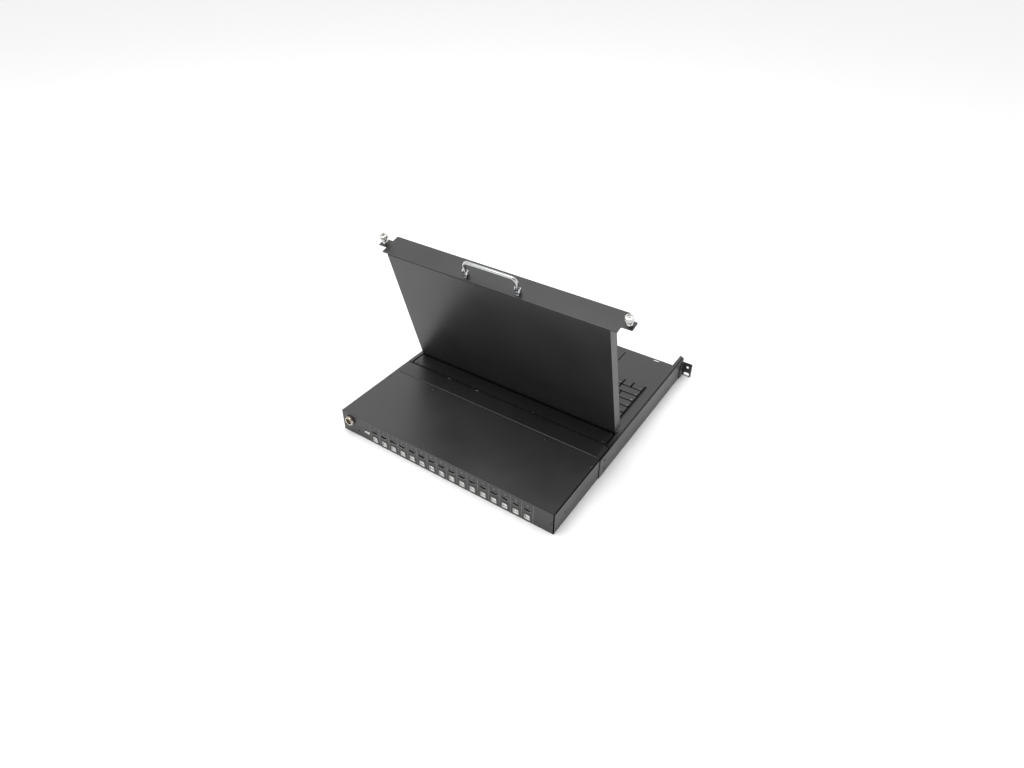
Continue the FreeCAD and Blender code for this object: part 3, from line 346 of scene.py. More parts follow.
looks = {
    "black_coat": {"dark": (0.005, 0.005, 0.0052), "light": (0.01, 0.01, 0.0103), "patches": 11,
                   "grain": 900, "pits": 1500, "bump": 0.01, "rough": (0.33, 0.42),
                   "shader": {"Specular IOR Level": 0.72}},
    # painted light: the black coat made lighter for the module's top cover, which lies dark under the open
    # lid
    "coverCoat": {"dark": (0.011, 0.011, 0.0113), "light": (0.018, 0.018, 0.0184), "patches": 11,
                  "grain": 900, "pits": 1500, "bump": 0.01, "rough": (0.33, 0.42),
                  "shader": {"Specular IOR Level": 0.76}},
    # painted shade: a near-black finish with almost no gloss for the steps beside seams, standing in for the
    # shadow in the gaps
    "seamShade": {"dark": (0.0008, 0.0008, 0.0008), "light": (0.002, 0.002, 0.002), "patches": 60,
                  "grain": 1400, "bump": 0.006, "rough": (0.75, 0.9),
                  "shader": {"Specular IOR Level": 0.05}},
    "coatEdge": {"dark": (0.012, 0.012, 0.0125), "light": (0.03, 0.03, 0.031), "patches": 60, "grain": 1400,
                 "bump": 0.006, "rough": (0.26, 0.36), "shader": {"Specular IOR Level": 0.8}},
    "screen_plastic": {"dark": (0.014, 0.014, 0.015), "light": (0.022, 0.022, 0.023), "patches": 25,
                       "grain": 2400, "pits": 3200, "bump": 0.012, "rough": (0.48, 0.6)},
    "slide_steel": {"dark": (0.42, 0.43, 0.45), "light": (0.62, 0.63, 0.65), "patches": 30, "grain": 600,
                    "stretch": (1, 0.04, 1), "bump": 0.008, "rough": (0.24, 0.42), "metallic": 1.0},
    "screw_steel": {"dark": (0.045, 0.045, 0.047), "light": (0.11, 0.11, 0.112), "patches": 500,
                    "grain": 2500, "bump": 0.008, "rough": (0.26, 0.38), "metallic": 1.0},
    "port_metal": {"dark": (0.2, 0.195, 0.185), "light": (0.44, 0.43, 0.41), "patches": 160, "grain": 1500,
                   "stretch": (1, 0.08, 1), "bump": 0.006, "rough": (0.24, 0.4), "metallic": 1.0},
    "port_black": {"dark": (0.01, 0.01, 0.011), "light": (0.02, 0.02, 0.021), "patches": 200, "grain": 3000,
                   "bump": 0.006, "rough": (0.42, 0.55)},
    "port_white": {"dark": (0.93, 0.93, 0.91), "light": (0.98, 0.98, 0.96), "patches": 130, "grain": 2600,
                   "bump": 0.006, "rough": (0.32, 0.46),
                   "shader": {"Subsurface Weight": 0.6, "Subsurface Scale": 0.003,
                              "Subsurface Radius": (1.0, 1.0, 0.95)}},
    "socket_metal": {"dark": (0.66, 0.6, 0.52), "light": (0.9, 0.86, 0.79), "patches": 180, "grain": 1800,
                     "bump": 0.006, "rough": (0.16, 0.28), "metallic": 1.0},
    # painted shade: a darker copy of the socket metal for the nut, standing in for the shade it sits in
    "nutMetal": {"dark": (0.16, 0.13, 0.105), "light": (0.3, 0.25, 0.2), "patches": 240, "grain": 2000,
                 "bump": 0.008, "rough": (0.3, 0.45), "metallic": 1.0},
    "gold": {"dark": (0.72, 0.5, 0.2), "light": (0.88, 0.66, 0.32), "patches": 400, "grain": 3000,
             "bump": 0.002, "rough": (0.18, 0.28), "metallic": 1.0},
    "key_plastic": {"dark": (0.02, 0.02, 0.022), "light": (0.032, 0.032, 0.034), "patches": 70,
                    "grain": 2600, "pits": 3600, "bump": 0.014, "rough": (0.4, 0.54)},
    "pad_plastic": {"dark": (0.018, 0.018, 0.02), "light": (0.027, 0.027, 0.029), "patches": 45,
                    "grain": 4200, "pits": 5200, "bump": 0.01, "rough": (0.42, 0.55)},
    "screen_panel": {"dark": (0.008, 0.0085, 0.011), "light": (0.013, 0.0135, 0.017), "patches": 8,
                     "grain": 6000, "bump": 0.003, "rough": (0.26, 0.34),
                     "shader": {"Coat Weight": 0.3, "Coat Roughness": 0.25}},
    "chrome": {"dark": (0.42, 0.43, 0.44), "light": (0.58, 0.58, 0.59), "patches": 220, "grain": 700,
               "bump": 0.0004, "rough": (0.03, 0.07), "metallic": 1.0},
    "thumb_steel": {"dark": (0.58, 0.58, 0.56), "light": (0.74, 0.74, 0.72), "patches": 260, "grain": 1700,
                    "bump": 0.004, "rough": (0.28, 0.4), "metallic": 1.0},
    "board": {"dark": (0.008, 0.07, 0.03), "light": (0.02, 0.17, 0.07), "patches": 120, "grain": 420,
              "stretch": (1, 0.2, 1), "bump": 0.02, "rough": (0.25, 0.4), "grainTone": 0.8},
    "print": {"dark": (0.3, 0.3, 0.31), "light": (0.46, 0.46, 0.47), "patches": 900, "grain": 3000,
              "bump": 0.002, "rough": (0.5, 0.62)},
    "legend": {"dark": (0.62, 0.62, 0.63), "light": (0.8, 0.8, 0.8), "patches": 700, "grain": 3000,
               "bump": 0.002, "rough": (0.45, 0.58)},
}
finishes = {name: finishFrom(name + "Finish", look) for name, look in looks.items()}
print("finishes made:", len(finishes))

# sheet metal and mouldings: the same parts with folded or moulded edges instead of knife edges
softEdges = {   # edge radius, mm
    "left_rail": 0.3, "right_rail": 0.3, "left_rack_ear": 0.3, "right_rack_ear": 0.3,
    "module_base": 0.4, "module_rear_panel": 0.12, "module_top_cover": 0.4, "module_front_strip": 0.25,
    "tray_pan": 0.3, "deck_panel": 0.2, "hinge_cover": 0.25, "keyboard_base": 0.25,
    "lid_back_cover": 0.35, "screen_frame": 0.3, "front_bezel": 0.35,
    "touchpad_panel": 0.25, "touchpad_pad": 0.12, "touchpad_left_button": 0.2, "touchpad_right_button": 0.2,
    "osd_button_1": 0.15, "osd_button_2": 0.15, "osd_button_3": 0.15,
    "left_hinge_bracket": 0.25, "right_hinge_bracket": 0.25, "left_hinge_arm": 0.2, "right_hinge_arm": 0.2,
    "usb_a_shell": 0.1, "lcd_panel": 0.1,
    "left_slide_outer": 0.15, "right_slide_outer": 0.15, "left_slide_middle": 0.15,
    "right_slide_middle": 0.15, "left_slide_inner": 0.15, "right_slide_inner": 0.15, "module_board": 0.1,
}

seams = {   # narrow steps cut beside joints, those on the rack painted with shade: (which place, low corner, high corner), mm
    "lid_back_cover": [("lid", (-220, -1.0, 266.9), (220, 1, 268.9))],
    "hinge_cover": [("rack", (-230, 312.6, 41.9), (230, 315, 45))],
    "module_top_cover": [("rack", (-230, 315, 42.0), (230, 317.2, 45)),
                         ("rack", (219.8, 317, 42.1), (222, 496, 45)),
                         ("rack", (-222, 317, 42.1), (-219.8, 496, 45))],
    "module_rear_panel": [("rack", (219.8, 495.2, 1.2), (222, 497, 45)),
                          ("rack", (-222, 495.2, 1.2), (-219.8, 497, 45))],
    "touchpad_panel": [("rack", (104.5, 14, 19.0), (106.3, 94, 22)),
                       ("rack", (-106.3, 14, 19.0), (-104.5, 94, 22)),
                       ("rack", (-106.3, 90.5, 19.0), (106.3, 94, 22))],
    "module_front_strip": [("rack", (-230, 315, 42.0), (230, 317.2, 45))],
    "tray_pan": [("rack", (219.9, -5, 40), (224, 326, 45)), ("rack", (-224, -5, 40), (-219.9, 326, 45))],
}
seamLook = {"edgeFinish": 1, "stepFinish": 2, "reach": 0.35}   # finish numbers, the step's being the painted seam shade; mm beyond a step's corners
sourceLook = {"weld": 1e-6, "flat": 0.4}   # m between points, degrees between faces that count as one
# the top cover's coat here is painted light; the hinge arms are steel
otherCoats = {"module_top_cover": "coverCoat",
              "left_hinge_arm": "slide_steel", "right_hinge_arm": "slide_steel"}
onRack = Matrix.Translation(rackPoint(0, 0, 0))


def shadeSeam(mesh, matrix, low, high):
    # painted shade: the step's faces and the bevels at its edges take the near-black seam finish, standing in
    # for the shadow in the gap
    reach = seamLook["reach"]
    for face in mesh.polygons:
        middle = matrix.inverted() @ face.center / mm
        if all(low[i] - reach < middle[i] < high[i] + reach for i in range(3)):
            face.material_index = seamLook["stepFinish"]


def softened(node, edge):
    source = nodes[node].data
    shape = bmesh.new()
    mesh = bpy.data.meshes.new(node)
    mesh.from_pydata([vert.co for vert in source.vertices], [],
                     [tuple(face.vertices) for face in source.polygons])
    shape.from_mesh(mesh)
    bmesh.ops.remove_doubles(shape, verts=shape.verts, dist=sourceLook["weld"])
    bmesh.ops.dissolve_limit(shape, angle_limit=math.radians(sourceLook["flat"]), verts=shape.verts,
                             edges=shape.edges)
    shape.to_mesh(mesh)
    shape.free()
    for place, low, high in seams.get(node, []):
        matrix = lidPlace(0, 0, 0) if place == "lid" else onRack
        mesh = carved(mesh, moved(boxShape(low, high), matrix))
    slotName = slotOf[node]
    coat = otherCoats.get(node, slotName)
    coated(mesh, coat, "coatEdge" if slotName == "black_coat" else coat, "seamShade")
    mesh = bevelled(mesh, edge, edgeFinish=seamLook["edgeFinish"])
    for place, low, high in seams.get(node, []):
        if place == "rack":
            shadeSeam(mesh, onRack, low, high)
    words = node.split("_")
    name = words[0] + "".join(word.capitalize() for word in words[1:])
    fitted(name, mesh, nodes[node]["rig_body"], slotName, node)


for node, edge in softEdges.items():
    softened(node, edge)
print("soft-edged parts:", len(softEdges))

# small screws with a cross recess
screwLook = {
    "profile": [(0, -0.2), (2.3, -0.2), (2.3, 0.22), (2.16, 0.52), (1.75, 0.78), (1.0, 0.93), (0, 0.97)],
    "sides": 28, "recess": (2.3, 0.5), "recessHeights": (0.27, 2), "spin": 6.2, "seed": 7,
    "places": {   # name: (body, replaced node, how its points are measured, [(point, direction)])
        "frameScrews": ("frame", "frame_screws", rackPoint,
                        [((sign * 224.2, 8.0, z), (sign, 0, 0)) for sign in (-1, 1) for z in (9, 25)]
                        + [((sign * 222.6, 333.5, z), (sign, 0, 0)) for sign in (-1, 1) for z in (11, 29)]),
        "moduleScrews": ("frame", "module_screws", rackPoint,
                         [((sign * x, y, 43.1), (0, 0, 1))
                          for sign in (-1, 1) for x, y in ((121.5, 359), (216.7, 373))]
                         + [((-216.5, 496.0, 19.5), (0, 1, 0))]
                         + [((sign * 221.4, 460.3, 18.3), (sign, 0, 0)) for sign in (-1, 1)]),
        "drawerScrews": ("drawer", "drawer_screws", rackPoint,
                         [((sign * x, 309.0, 43.0), (0, 0, 1)) for sign in (-1, 1) for x in (203.2, 66)]),
        "lidScrews": ("lid", "lid_screws", lidPoint, [((x, 17, 0), -towardsScreen) for x in (-193, 10, 203)]),
    },
}


def screwHead():
    head = turned(screwLook["profile"], screwLook["sides"])
    head = crossCut(head, *screwLook["recess"], *screwLook["recessHeights"])
    return placed("screwHead", smooth(head, crispAngle))


def screwTree():
    tree, given = newTree("screwsOnPoints", [("Screw", "Object"), ("Most Spin", "Float"), ("Seed", "Int"),
                                             ("Finish", "Material")])
    facing = named(tree, "facing", "FLOAT_VECTOR")
    upright = nodeIn(tree, "FunctionNodeAlignRotationToVector", {"axis": "Z"}, {"Vector": facing})
    spin = nodeIn(tree, "FunctionNodeRandomValue", {"data_type": "FLOAT"},
                  {3: given["Most Spin"], 8: given["Seed"]})
    around = nodeIn(tree, "FunctionNodeAxisAngleToRotation",
                    inputs={"Axis": (0, 0, 1), "Angle": spin.outputs[1]})
    turn = nodeIn(tree, "FunctionNodeRotateRotation", {"rotation_space": "LOCAL"},
                  {0: upright.outputs[0], 1: around.outputs[0]})
    screw = nodeIn(tree, "GeometryNodeObjectInfo", inputs={"Object": given["Screw"]})
    many = nodeIn(tree, "GeometryNodeInstanceOnPoints", inputs={
        "Points": given["Geometry"], "Instance": screw.outputs["Geometry"], "Rotation": turn.outputs[0]})
    return endTree(tree, many.outputs[0], given["Finish"])


headShape = screwHead()
screws = screwTree()
for name, (body, node, measured, places) in screwLook["places"].items():
    points = pointCloud([measured(*at) for at, _ in places], facing=[Vector(way) for _, way in places])
    mesh = grown(points, screws, {"Screw": headShape, "Most Spin": screwLook["spin"],
                                  "Seed": screwLook["seed"], "Finish": finishes["screw_steel"]})
    fitted(name, mesh, body, "screw_steel", node)
bpy.data.objects.remove(headShape)
print("screws set")

# keyboard: one dished cap stretched to each key's width, with printed legends
keyLook = {"gap": 1.3, "height": 3.6, "taper": 1.1, "dish": 0.32, "stem": 4.0, "sunk": 0.05, "cornerSteps": 4,
           "rings": [(0.15, 0, 0.9), (0, 0.25, 1.0), (0.88, 3.05, 1.6), (1.045, 3.4, 1.7), (1.4, 3.57, 1.7),
                     (1.9, 3.55, 1.7)],   # inset, height and corner radius, from the foot up
           "dishSteps": (0.7, 0.4, 0.15), "topCorner": 1.7,
           "legendInset": (1.5, 1.3), "letter": 3.5, "word": 2.35, "ink": 0.012}
keyRows = [   # widths in key units and legends, from the user's left; front row first
    ([1.25, 1, 1, 1.25, 5.5] + [1] * 6 + [2, 1, 1],
     ["Ctrl", "Fn", "Win", "Alt", "", "Alt", "Fn", "Menu", "Ctrl", "<", "v", "0", ".", "Ent"]),
    ([2.25] + [1] * 10 + [1.75, 1] + [1] * 5,
     ["Shift", "Z", "X", "C", "V", "B", "N", "M", ",", ".", "/", "Shift", "^", "End", "1", "2", "3", "Ent"]),
    ([1.75] + [1] * 11 + [2.25] + [1] * 5,
     ["Caps", "A", "S", "D", "F", "G", "H", "J", "K", "L", ";", "'", "Enter", "Home", "4", "5", "6", "+"]),
    ([1.5] + [1] * 12 + [1.5] + [1] * 5,
     ["Tab", "Q", "W", "E", "R", "T", "Y", "U", "I", "O", "P", "[", "]", "\\", "Del", "7", "8", "9", "+"]),
    ([1] * 13 + [2] + [1] * 5,
     ["`", "1", "2", "3", "4", "5", "6", "7", "8", "9", "0", "-", "=", "Back", "Ins", "Num", "/", "*", "-"]),
    ([1] * 20,
     ["Esc", "F1", "F2", "F3", "F4", "F5", "F6", "F7", "F8", "F9", "F10", "F11", "F12",
      "Prt", "Scr", "Pau", "PgUp", "PgDn", "Vol-", "Vol+"]),
]
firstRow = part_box("key_row_1")
keyPitch = ((firstRow[1].x - firstRow[0].x) / mm + keyLook["gap"]) / sum(keyRows[0][0])
capHalf = (keyPitch - keyLook["gap"]) / 2
capTop = capHalf - keyLook["taper"]


def capLoop(half, z, corner):
    loop = []
    for quarter, (signX, signY) in enumerate(((1, 1), (-1, 1), (-1, -1), (1, -1))):
        for step in range(keyLook["cornerSteps"] + 1):
            turn = math.pi / 2 * (quarter + step / keyLook["cornerSteps"])
            loop.append((signX * (half - corner) + corner * math.cos(turn),
                         signY * (half - corner) + corner * math.sin(turn), z))
    return loop


def keyCap(stemLength):
    rings = [(capHalf - inset, z, corner) for inset, z, corner in keyLook["rings"]]
    for share in keyLook["dishSteps"]:
        dished = keyLook["height"] - keyLook["dish"] * (1 - share ** 2)
        rings.append((capTop * share, dished, keyLook["topCorner"] * share))
    cap = skinned([capLoop(*ring) for ring in rings])
    half = keyLook["stem"] / 2
    stem = boxShape((-half, -half, -stemLength), (half, half, keyLook["sunk"]))
    capCount = len(cap.vertices)
    mesh = smooth(joined([cap, stem]), 50)
    side = mesh.attributes.new("side", "FLOAT", "POINT")   # which way a point goes when the cap is stretched
    side.data.foreach_set("value", [math.copysign(1, vert.co.x) if vert.index < capCount else 0.0
                                    for vert in mesh.vertices])
    return placed("keyCap", mesh)


def keyTree():
    tree, given = newTree("keysInRow", [("Cap", "Object"), ("Finish", "Material")])
    cap = nodeIn(tree, "GeometryNodeObjectInfo", inputs={"Object": given["Cap"]})
    many = nodeIn(tree, "GeometryNodeInstanceOnPoints",
                  inputs={"Points": given["Geometry"], "Instance": cap.outputs["Geometry"]})
    real = nodeIn(tree, "GeometryNodeRealizeInstances", inputs={"Geometry": many.outputs[0]})
    out = nodeIn(tree, "ShaderNodeMath", {"operation": "MULTIPLY"},
                 {0: named(tree, "side", "FLOAT"), 1: named(tree, "extra", "FLOAT")})
    shift = nodeIn(tree, "ShaderNodeCombineXYZ", inputs={"X": out.outputs[0]})
    wide = nodeIn(tree, "GeometryNodeSetPosition",
                  inputs={"Geometry": real.outputs[0], "Offset": shift.outputs[0]})
    return endTree(tree, wide.outputs[0], given["Finish"])


def lettering(text, size, thickness, align="LEFT", resolution=2):
    curve = bpy.data.curves.new("lettering", "FONT")
    curve.body, curve.size, curve.extrude = text, size * mm, thickness * mm
    curve.align_x, curve.align_y, curve.resolution_u = align, "CENTER", resolution
    return settled(placed("lettering", curve))


def dishAt(x, y, extra):
    reach = max(max(abs(x) - extra, 0), abs(y)) / capTop
    return -keyLook["dish"] * (1 - min(reach, 1) ** 2)


def keyLegend(text, x, y, topZ, width):
    extra = (width - keyPitch) / 2
    size = keyLook["letter"] if len(text) == 1 else keyLook["word"]
    mesh = lettering(text, size, keyLook["ink"])
    left = -(capTop + extra) + keyLook["legendInset"][0]
    rise = capTop - keyLook["legendInset"][1] - size / 2
    for vert in mesh.vertices:
        px, py, pz = vert.co / mm
        px, py = px + left, py + rise
        vert.co = Vector((x + px, y + py, topZ + pz + dishAt(px, py, extra))) * mm
    return mesh


keys = keyTree()
for number, (widths, legends) in enumerate(keyRows, start=1):
    node = "key_row_%d" % number
    low, high = (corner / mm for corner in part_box(node))
    capBottom = high.z - keyLook["height"]
    cap = keyCap(capBottom - low.z)
    left, y = low.x - keyLook["gap"] / 2, (low.y + high.y) / 2
    points, extras, inked = [], [], []
    for units, text in zip(widths, legends):
        width = units * keyPitch
        x = left + width / 2
        points.append(Vector((x, y, capBottom)) * mm)
        extras.append((width - keyPitch) / 2 * mm)
        if text:
            inked.append(keyLegend(text, x, y, high.z, width))
        left += width
    mesh = grown(pointCloud(points, extra=extras), keys, {"Cap": cap, "Finish": finishes["key_plastic"]})
    bpy.data.objects.remove(cap)
    body = nodes[node]["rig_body"]
    fitted("keyRow%d" % number, mesh, body, "key_plastic", node)
    fitted("keyLegends%d" % number, coated(joined(inked), "legend"), body, "key_plastic")
print("keyboard rows:", len(keyRows))

# handle: a bent round rod with flattened eyes between two slotted posts
handleLook = {"rod": 3.0, "flat": 2.5, "flatEnd": 5.0, "taperEnd": 7.5, "spacing": 50.0, "depth": 9.0,
              "rise": 7.0, "reach": 22.38, "bend": 9.0, "sides": 32, "bendSteps": 12, "bore": 1.3,
              "eyeSteps": (-2.97, -2.8, -2.4, -1.8, -1.0, 0.0),   # heights that round the end of the eye
              "pin": 1.25, "pinReach": 5.3, "pinEdge": 0.2,
              "postRadius": 5.5, "postSides": 64, "postPlay": 0.35, "postFloor": 2.4, "postEdge": 0.35}


def sweptRod(stations, sides):
    # stations: centre, direction across the rod in its plane, half width across, half depth
    turns = [2 * math.pi * i / sides for i in range(sides)]
    return skinned([[centre + across * halfWidth * math.cos(turn) + Vector((0, halfDepth * math.sin(turn), 0))
                     for turn in turns] for centre, across, halfWidth, halfDepth in stations])


def bailStations():
    look = handleLook
    half, rod, flat, bend, top = look["spacing"], look["rod"], look["flat"], look["bend"], look["reach"]
    right = [(height, flat, math.sqrt(rod ** 2 - height ** 2)) for height in look["eyeSteps"]]
    right += [(look["flatEnd"], flat, rod), (look["taperEnd"], rod, rod)]
    stations = [(Vector((half, 0, height)), Vector((1, 0, 0)), wide, deep) for height, wide, deep in right]
    for step in range(look["bendSteps"] + 1):
        turn = math.pi / 2 * step / look["bendSteps"]
        out = Vector((math.cos(turn), 0, math.sin(turn)))
        stations.append((Vector((half - bend, 0, top - bend)) + out * bend, out, rod, rod))
    mirror = [(Vector((-centre.x, 0, centre.z)), Vector((-across.x, 0, across.z)), wide, deep)
              for centre, across, wide, deep in reversed(stations)]
    return stations + mirror


def crossRod(radius, x0, x1, sides=32):
    rod = turned([(0, x0), (radius, x0), (radius, x1), (0, x1)], sides)
    return moved(rod, Matrix.Rotation(math.pi / 2, 4, "Y"))


def handlePost():
    # about the pivot; Z runs up the post and X across its slot
    look = handleLook
    foot, radius, sides = -look["rise"], look["postRadius"], look["postSides"]
    half, past = look["rod"] + look["postPlay"], radius + 0.5   # half the slot's width; clear of the post
    post = turned([(0, foot), (radius, foot), (radius, radius), (0, radius)], sides)
    side = carved(crossRod(radius, -past, past, sides),
                  boxShape((-past, -radius, foot - 1), (past, radius, 0)), "UNION")
    post = carved(post, side, "INTERSECT")
    post = carved(post, boxShape((-half, -past - 1, foot + look["postFloor"]), (half, past + 1, past + 1)))
    return bevelled(post, look["postEdge"], degrees=38)


pivotAlong = lidSizes["bezelFace"] + handleLook["rise"]
bailMesh = sweptRod(bailStations(), handleLook["sides"])
for sign in (-1, 1):
    middle = sign * handleLook["spacing"]
    bailMesh = carved(bailMesh, crossRod(handleLook["bore"], middle - 5, middle + 5))
moved(bailMesh, lidPlace(0, pivotAlong, handleLook["depth"]))
fitted("handleBail", coated(smooth(bailMesh), "chrome"), "handle", "chrome", "handle_bail")

posts = []
for sign in (-1, 1):
    matrix = lidPlace(sign * handleLook["spacing"], pivotAlong, handleLook["depth"])
    pin = crossRod(handleLook["pin"], -handleLook["pinReach"], handleLook["pinReach"])
    posts += [moved(handlePost(), matrix), moved(bevelled(pin, handleLook["pinEdge"]), matrix)]
fitted("handlePosts", coated(smooth(joined(posts)), "chrome"), "lid", "chrome", "handle_posts")
print("handle set")

# thumbscrews: knurled heads on sprung sleeves in pressed ferrules
thumbLook = {   # profiles are (radius, height) in mm, from the bottom up
    "x": 232.55, "depth": 21.0, "rise": 9.7, "sleeveRise": 3.5,
    "sides": 72, "sleeveSides": 48, "ferruleSides": 56,
    "rim": 6.58, "ridges": 44, "ridge": 0.42, "ridgeLength": 4.8, "ridgeMiddle": 3.25,
    "slot": (5.4, 1.2), "slotHeights": (3.9, 5.7),
    "knob": [(0, -11.3), (1.5, -11.3), (2.0, -10.7), (2.0, 0), (5.985, 0), (6.685, 0.6), (6.685, 5.9),
             (6.335, 6.5), (5.785, 6.8), (4.6, 6.8), (4.2, 6.45), (4.1, 5.2), (0, 5.2)],
    "sleeve": [(2.05, 0), (3.5, 0), (3.8, 0.3), (3.8, 4.75), (3.45, 4.95), (3.45, 5.35), (3.8, 5.55),
               (3.8, 6.05), (2.05, 6.15)],
    "ferrule": [(3.9, -1.8), (4.5, -1.8), (4.5, 0), (5.35, 0), (5.35, 4.1), (5.05, 5.1), (4.55, 5.6),
                (4.2, 5.7), (3.9, 5.4)],
}


def knurlTree():
    tree, given = newTree("knurledRim", [
        ("Ridges", "Int"), ("Rim Radius", "Float"), ("Ridge Size", "Float"), ("Ridge Length", "Float"),
        ("Middle", "Vector"), ("Finish", "Material")])
    circle = nodeIn(tree, "GeometryNodeMeshCircle",
                    inputs={"Vertices": given["Ridges"], "Radius": given["Rim Radius"]})
    ridge = nodeIn(tree, "GeometryNodeMeshCylinder",
                   inputs={"Vertices": 4, "Radius": given["Ridge Size"], "Depth": given["Ridge Length"]})
    outwards = nodeIn(tree, "GeometryNodeInputPosition")
    turn = nodeIn(tree, "FunctionNodeAlignRotationToVector", {"axis": "X"}, {"Vector": outwards.outputs[0]})
    many = nodeIn(tree, "GeometryNodeInstanceOnPoints", inputs={
        "Points": circle.outputs[0], "Instance": ridge.outputs[0], "Rotation": turn.outputs[0]})
    raised = nodeIn(tree, "GeometryNodeTransform",
                    inputs={"Geometry": many.outputs[0], "Translation": given["Middle"]})
    return endTree(tree, together(tree, raised.outputs[0], given["Geometry"]), given["Finish"])


knurl = knurlTree()
ferrules = []
for side, sign in (("left", -1), ("right", 1)):
    knobPlace, sleevePlace, ferrulePlace = [
        lidPlace(sign * thumbLook["x"], lidSizes["bezelFace"] + rise, thumbLook["depth"])
        for rise in (thumbLook["rise"], thumbLook["sleeveRise"], 0)]
    knob = turned(thumbLook["knob"], thumbLook["sides"])
    knob = smooth(crossCut(knob, *thumbLook["slot"], *thumbLook["slotHeights"]), crispAngle)
    knob = grown(knob, knurl, {
        "Ridges": thumbLook["ridges"], "Rim Radius": thumbLook["rim"] * mm,
        "Ridge Size": thumbLook["ridge"] * mm, "Ridge Length": thumbLook["ridgeLength"] * mm,
        "Middle": Vector((0, 0, thumbLook["ridgeMiddle"])) * mm, "Finish": finishes["thumb_steel"]})
    fitted(side + "ThumbKnob", moved(knob, knobPlace), side + "_thumbscrew", "thumb_steel",
           side + "_thumbscrew_knob")
    sleeve = smooth(turned(thumbLook["sleeve"], thumbLook["sleeveSides"], ring=True), crispAngle)
    fitted(side + "ThumbSleeve", moved(coated(sleeve, "thumb_steel"), sleevePlace),
           side + "_thumbscrew_collar", "thumb_steel", side + "_thumbscrew_sleeve")
    ferrules.append(moved(turned(thumbLook["ferrule"], thumbLook["ferruleSides"], ring=True), ferrulePlace))
ferruleMesh = coated(smooth(joined(ferrules), crispAngle), "thumb_steel")
fitted("thumbFerrules", ferruleMesh, "lid", "thumb_steel", "thumbscrew_ferrules")
print("thumbscrews set")

# power socket: threaded barrel, black insert, gold pins
socketLook = {   # profiles are (radius, height) as for the thumbscrews
    "x": 202.0, "z": 28.0, "threadTurns": 4.0, "threadRadius": 7.43, "thread": 0.55, "threadLength": 3.9,
    "barrel": [(6.4, -10), (7.45, -10), (7.45, 4.6), (7.8, 4.7), (7.8, 5.35), (7.45, 5.6), (6.75, 5.6),
               (6.4, 5.3)],
    "core": [(0, -10), (6.35, -10), (6.35, 0.9), (6.0, 1.2), (2.0, 1.2), (1.7, 0.7), (0, 0.7)],
    "keyway": ((-1.0, 4.5, 1.0), (1.0, 6.0, 4.2)), "pins": 4, "pinRing": 3.2,
    "pin": [(0, 0.8), (0.8, 0.8), (0.8, 3.7), (0.45, 4.2), (0, 4.3)],
    "nutFlat": 19.0, "nutHeight": 2.6, "nutHole": 8.02, "nutEdge": 0.35,
    "sides": {"barrel": 64, "core": 48, "pin": 16, "nut": 6, "nutHole": 48},
}


def threadTree():
    tree, given = newTree("threadOnBarrel", [
        ("Turns", "Float"), ("Thread Radius", "Float"), ("Thread Size", "Float"), ("Length", "Float"),
        ("Finish", "Material")])
    helix = nodeIn(tree, "GeometryNodeCurveSpiral", inputs={
        "Resolution": 36, "Rotations": given["Turns"], "Start Radius": given["Thread Radius"],
        "End Radius": given["Thread Radius"], "Height": given["Length"]})
    ridge = nodeIn(tree, "GeometryNodeCurvePrimitiveCircle",
                   inputs={"Resolution": 4, "Radius": given["Thread Size"]})
    wound = nodeIn(tree, "GeometryNodeCurveToMesh",
                   inputs={"Curve": helix.outputs[0], "Profile Curve": ridge.outputs[0], "Fill Caps": True})
    return endTree(tree, together(tree, wound.outputs[0], given["Geometry"]), given["Finish"])


def socketPart(name, **choice):
    return turned(socketLook[name], socketLook["sides"][name], **choice)


socketPlace = rearPlace(socketLook["x"], socketLook["z"])
corner, height, hole = socketLook["nutFlat"] / math.sqrt(3), socketLook["nutHeight"], socketLook["nutHole"]
nut = carved(turned([(0, 0), (corner, 0), (corner, height), (0, height)], socketLook["sides"]["nut"]),
             turned([(0, -1), (hole, -1), (hole, 9), (0, 9)], socketLook["sides"]["nutHole"]))
# the nut takes the painted-shade copy of the socket metal
nut = coated(bevelled(nut, socketLook["nutEdge"]), "nutMetal")
fitted("socketNut", moved(nut, socketPlace), "frame", "socket_metal", "power_socket_nut")
barrel = grown(smooth(socketPart("barrel", ring=True), crispAngle), threadTree(), {
    "Turns": socketLook["threadTurns"], "Thread Radius": socketLook["threadRadius"] * mm,
    "Thread Size": socketLook["thread"] * mm, "Length": socketLook["threadLength"] * mm,
    "Finish": finishes["socket_metal"]})
fitted("socketBarrel", moved(barrel, socketPlace), "frame", "socket_metal", "power_socket_shell")
insert = smooth(joined([socketPart("core"), boxShape(*socketLook["keyway"])]), crispAngle)
fitted("socketInsert", moved(coated(insert, "port_black"), socketPlace), "frame", "port_black",
       "power_socket_insert")
pins = []
for i in range(socketLook["pins"]):
    turn = 2 * math.pi * (i + 0.5) / socketLook["pins"]
    out = Vector((math.cos(turn), math.sin(turn), 0)) * socketLook["pinRing"] * mm
    pins.append(moved(socketPart("pin"), Matrix.Translation(out)))
pinMesh = coated(smooth(joined(pins), crispAngle), "gold")
fitted("socketPins", moved(pinMesh, socketPlace), "frame", "socket_metal")
print("power socket set")

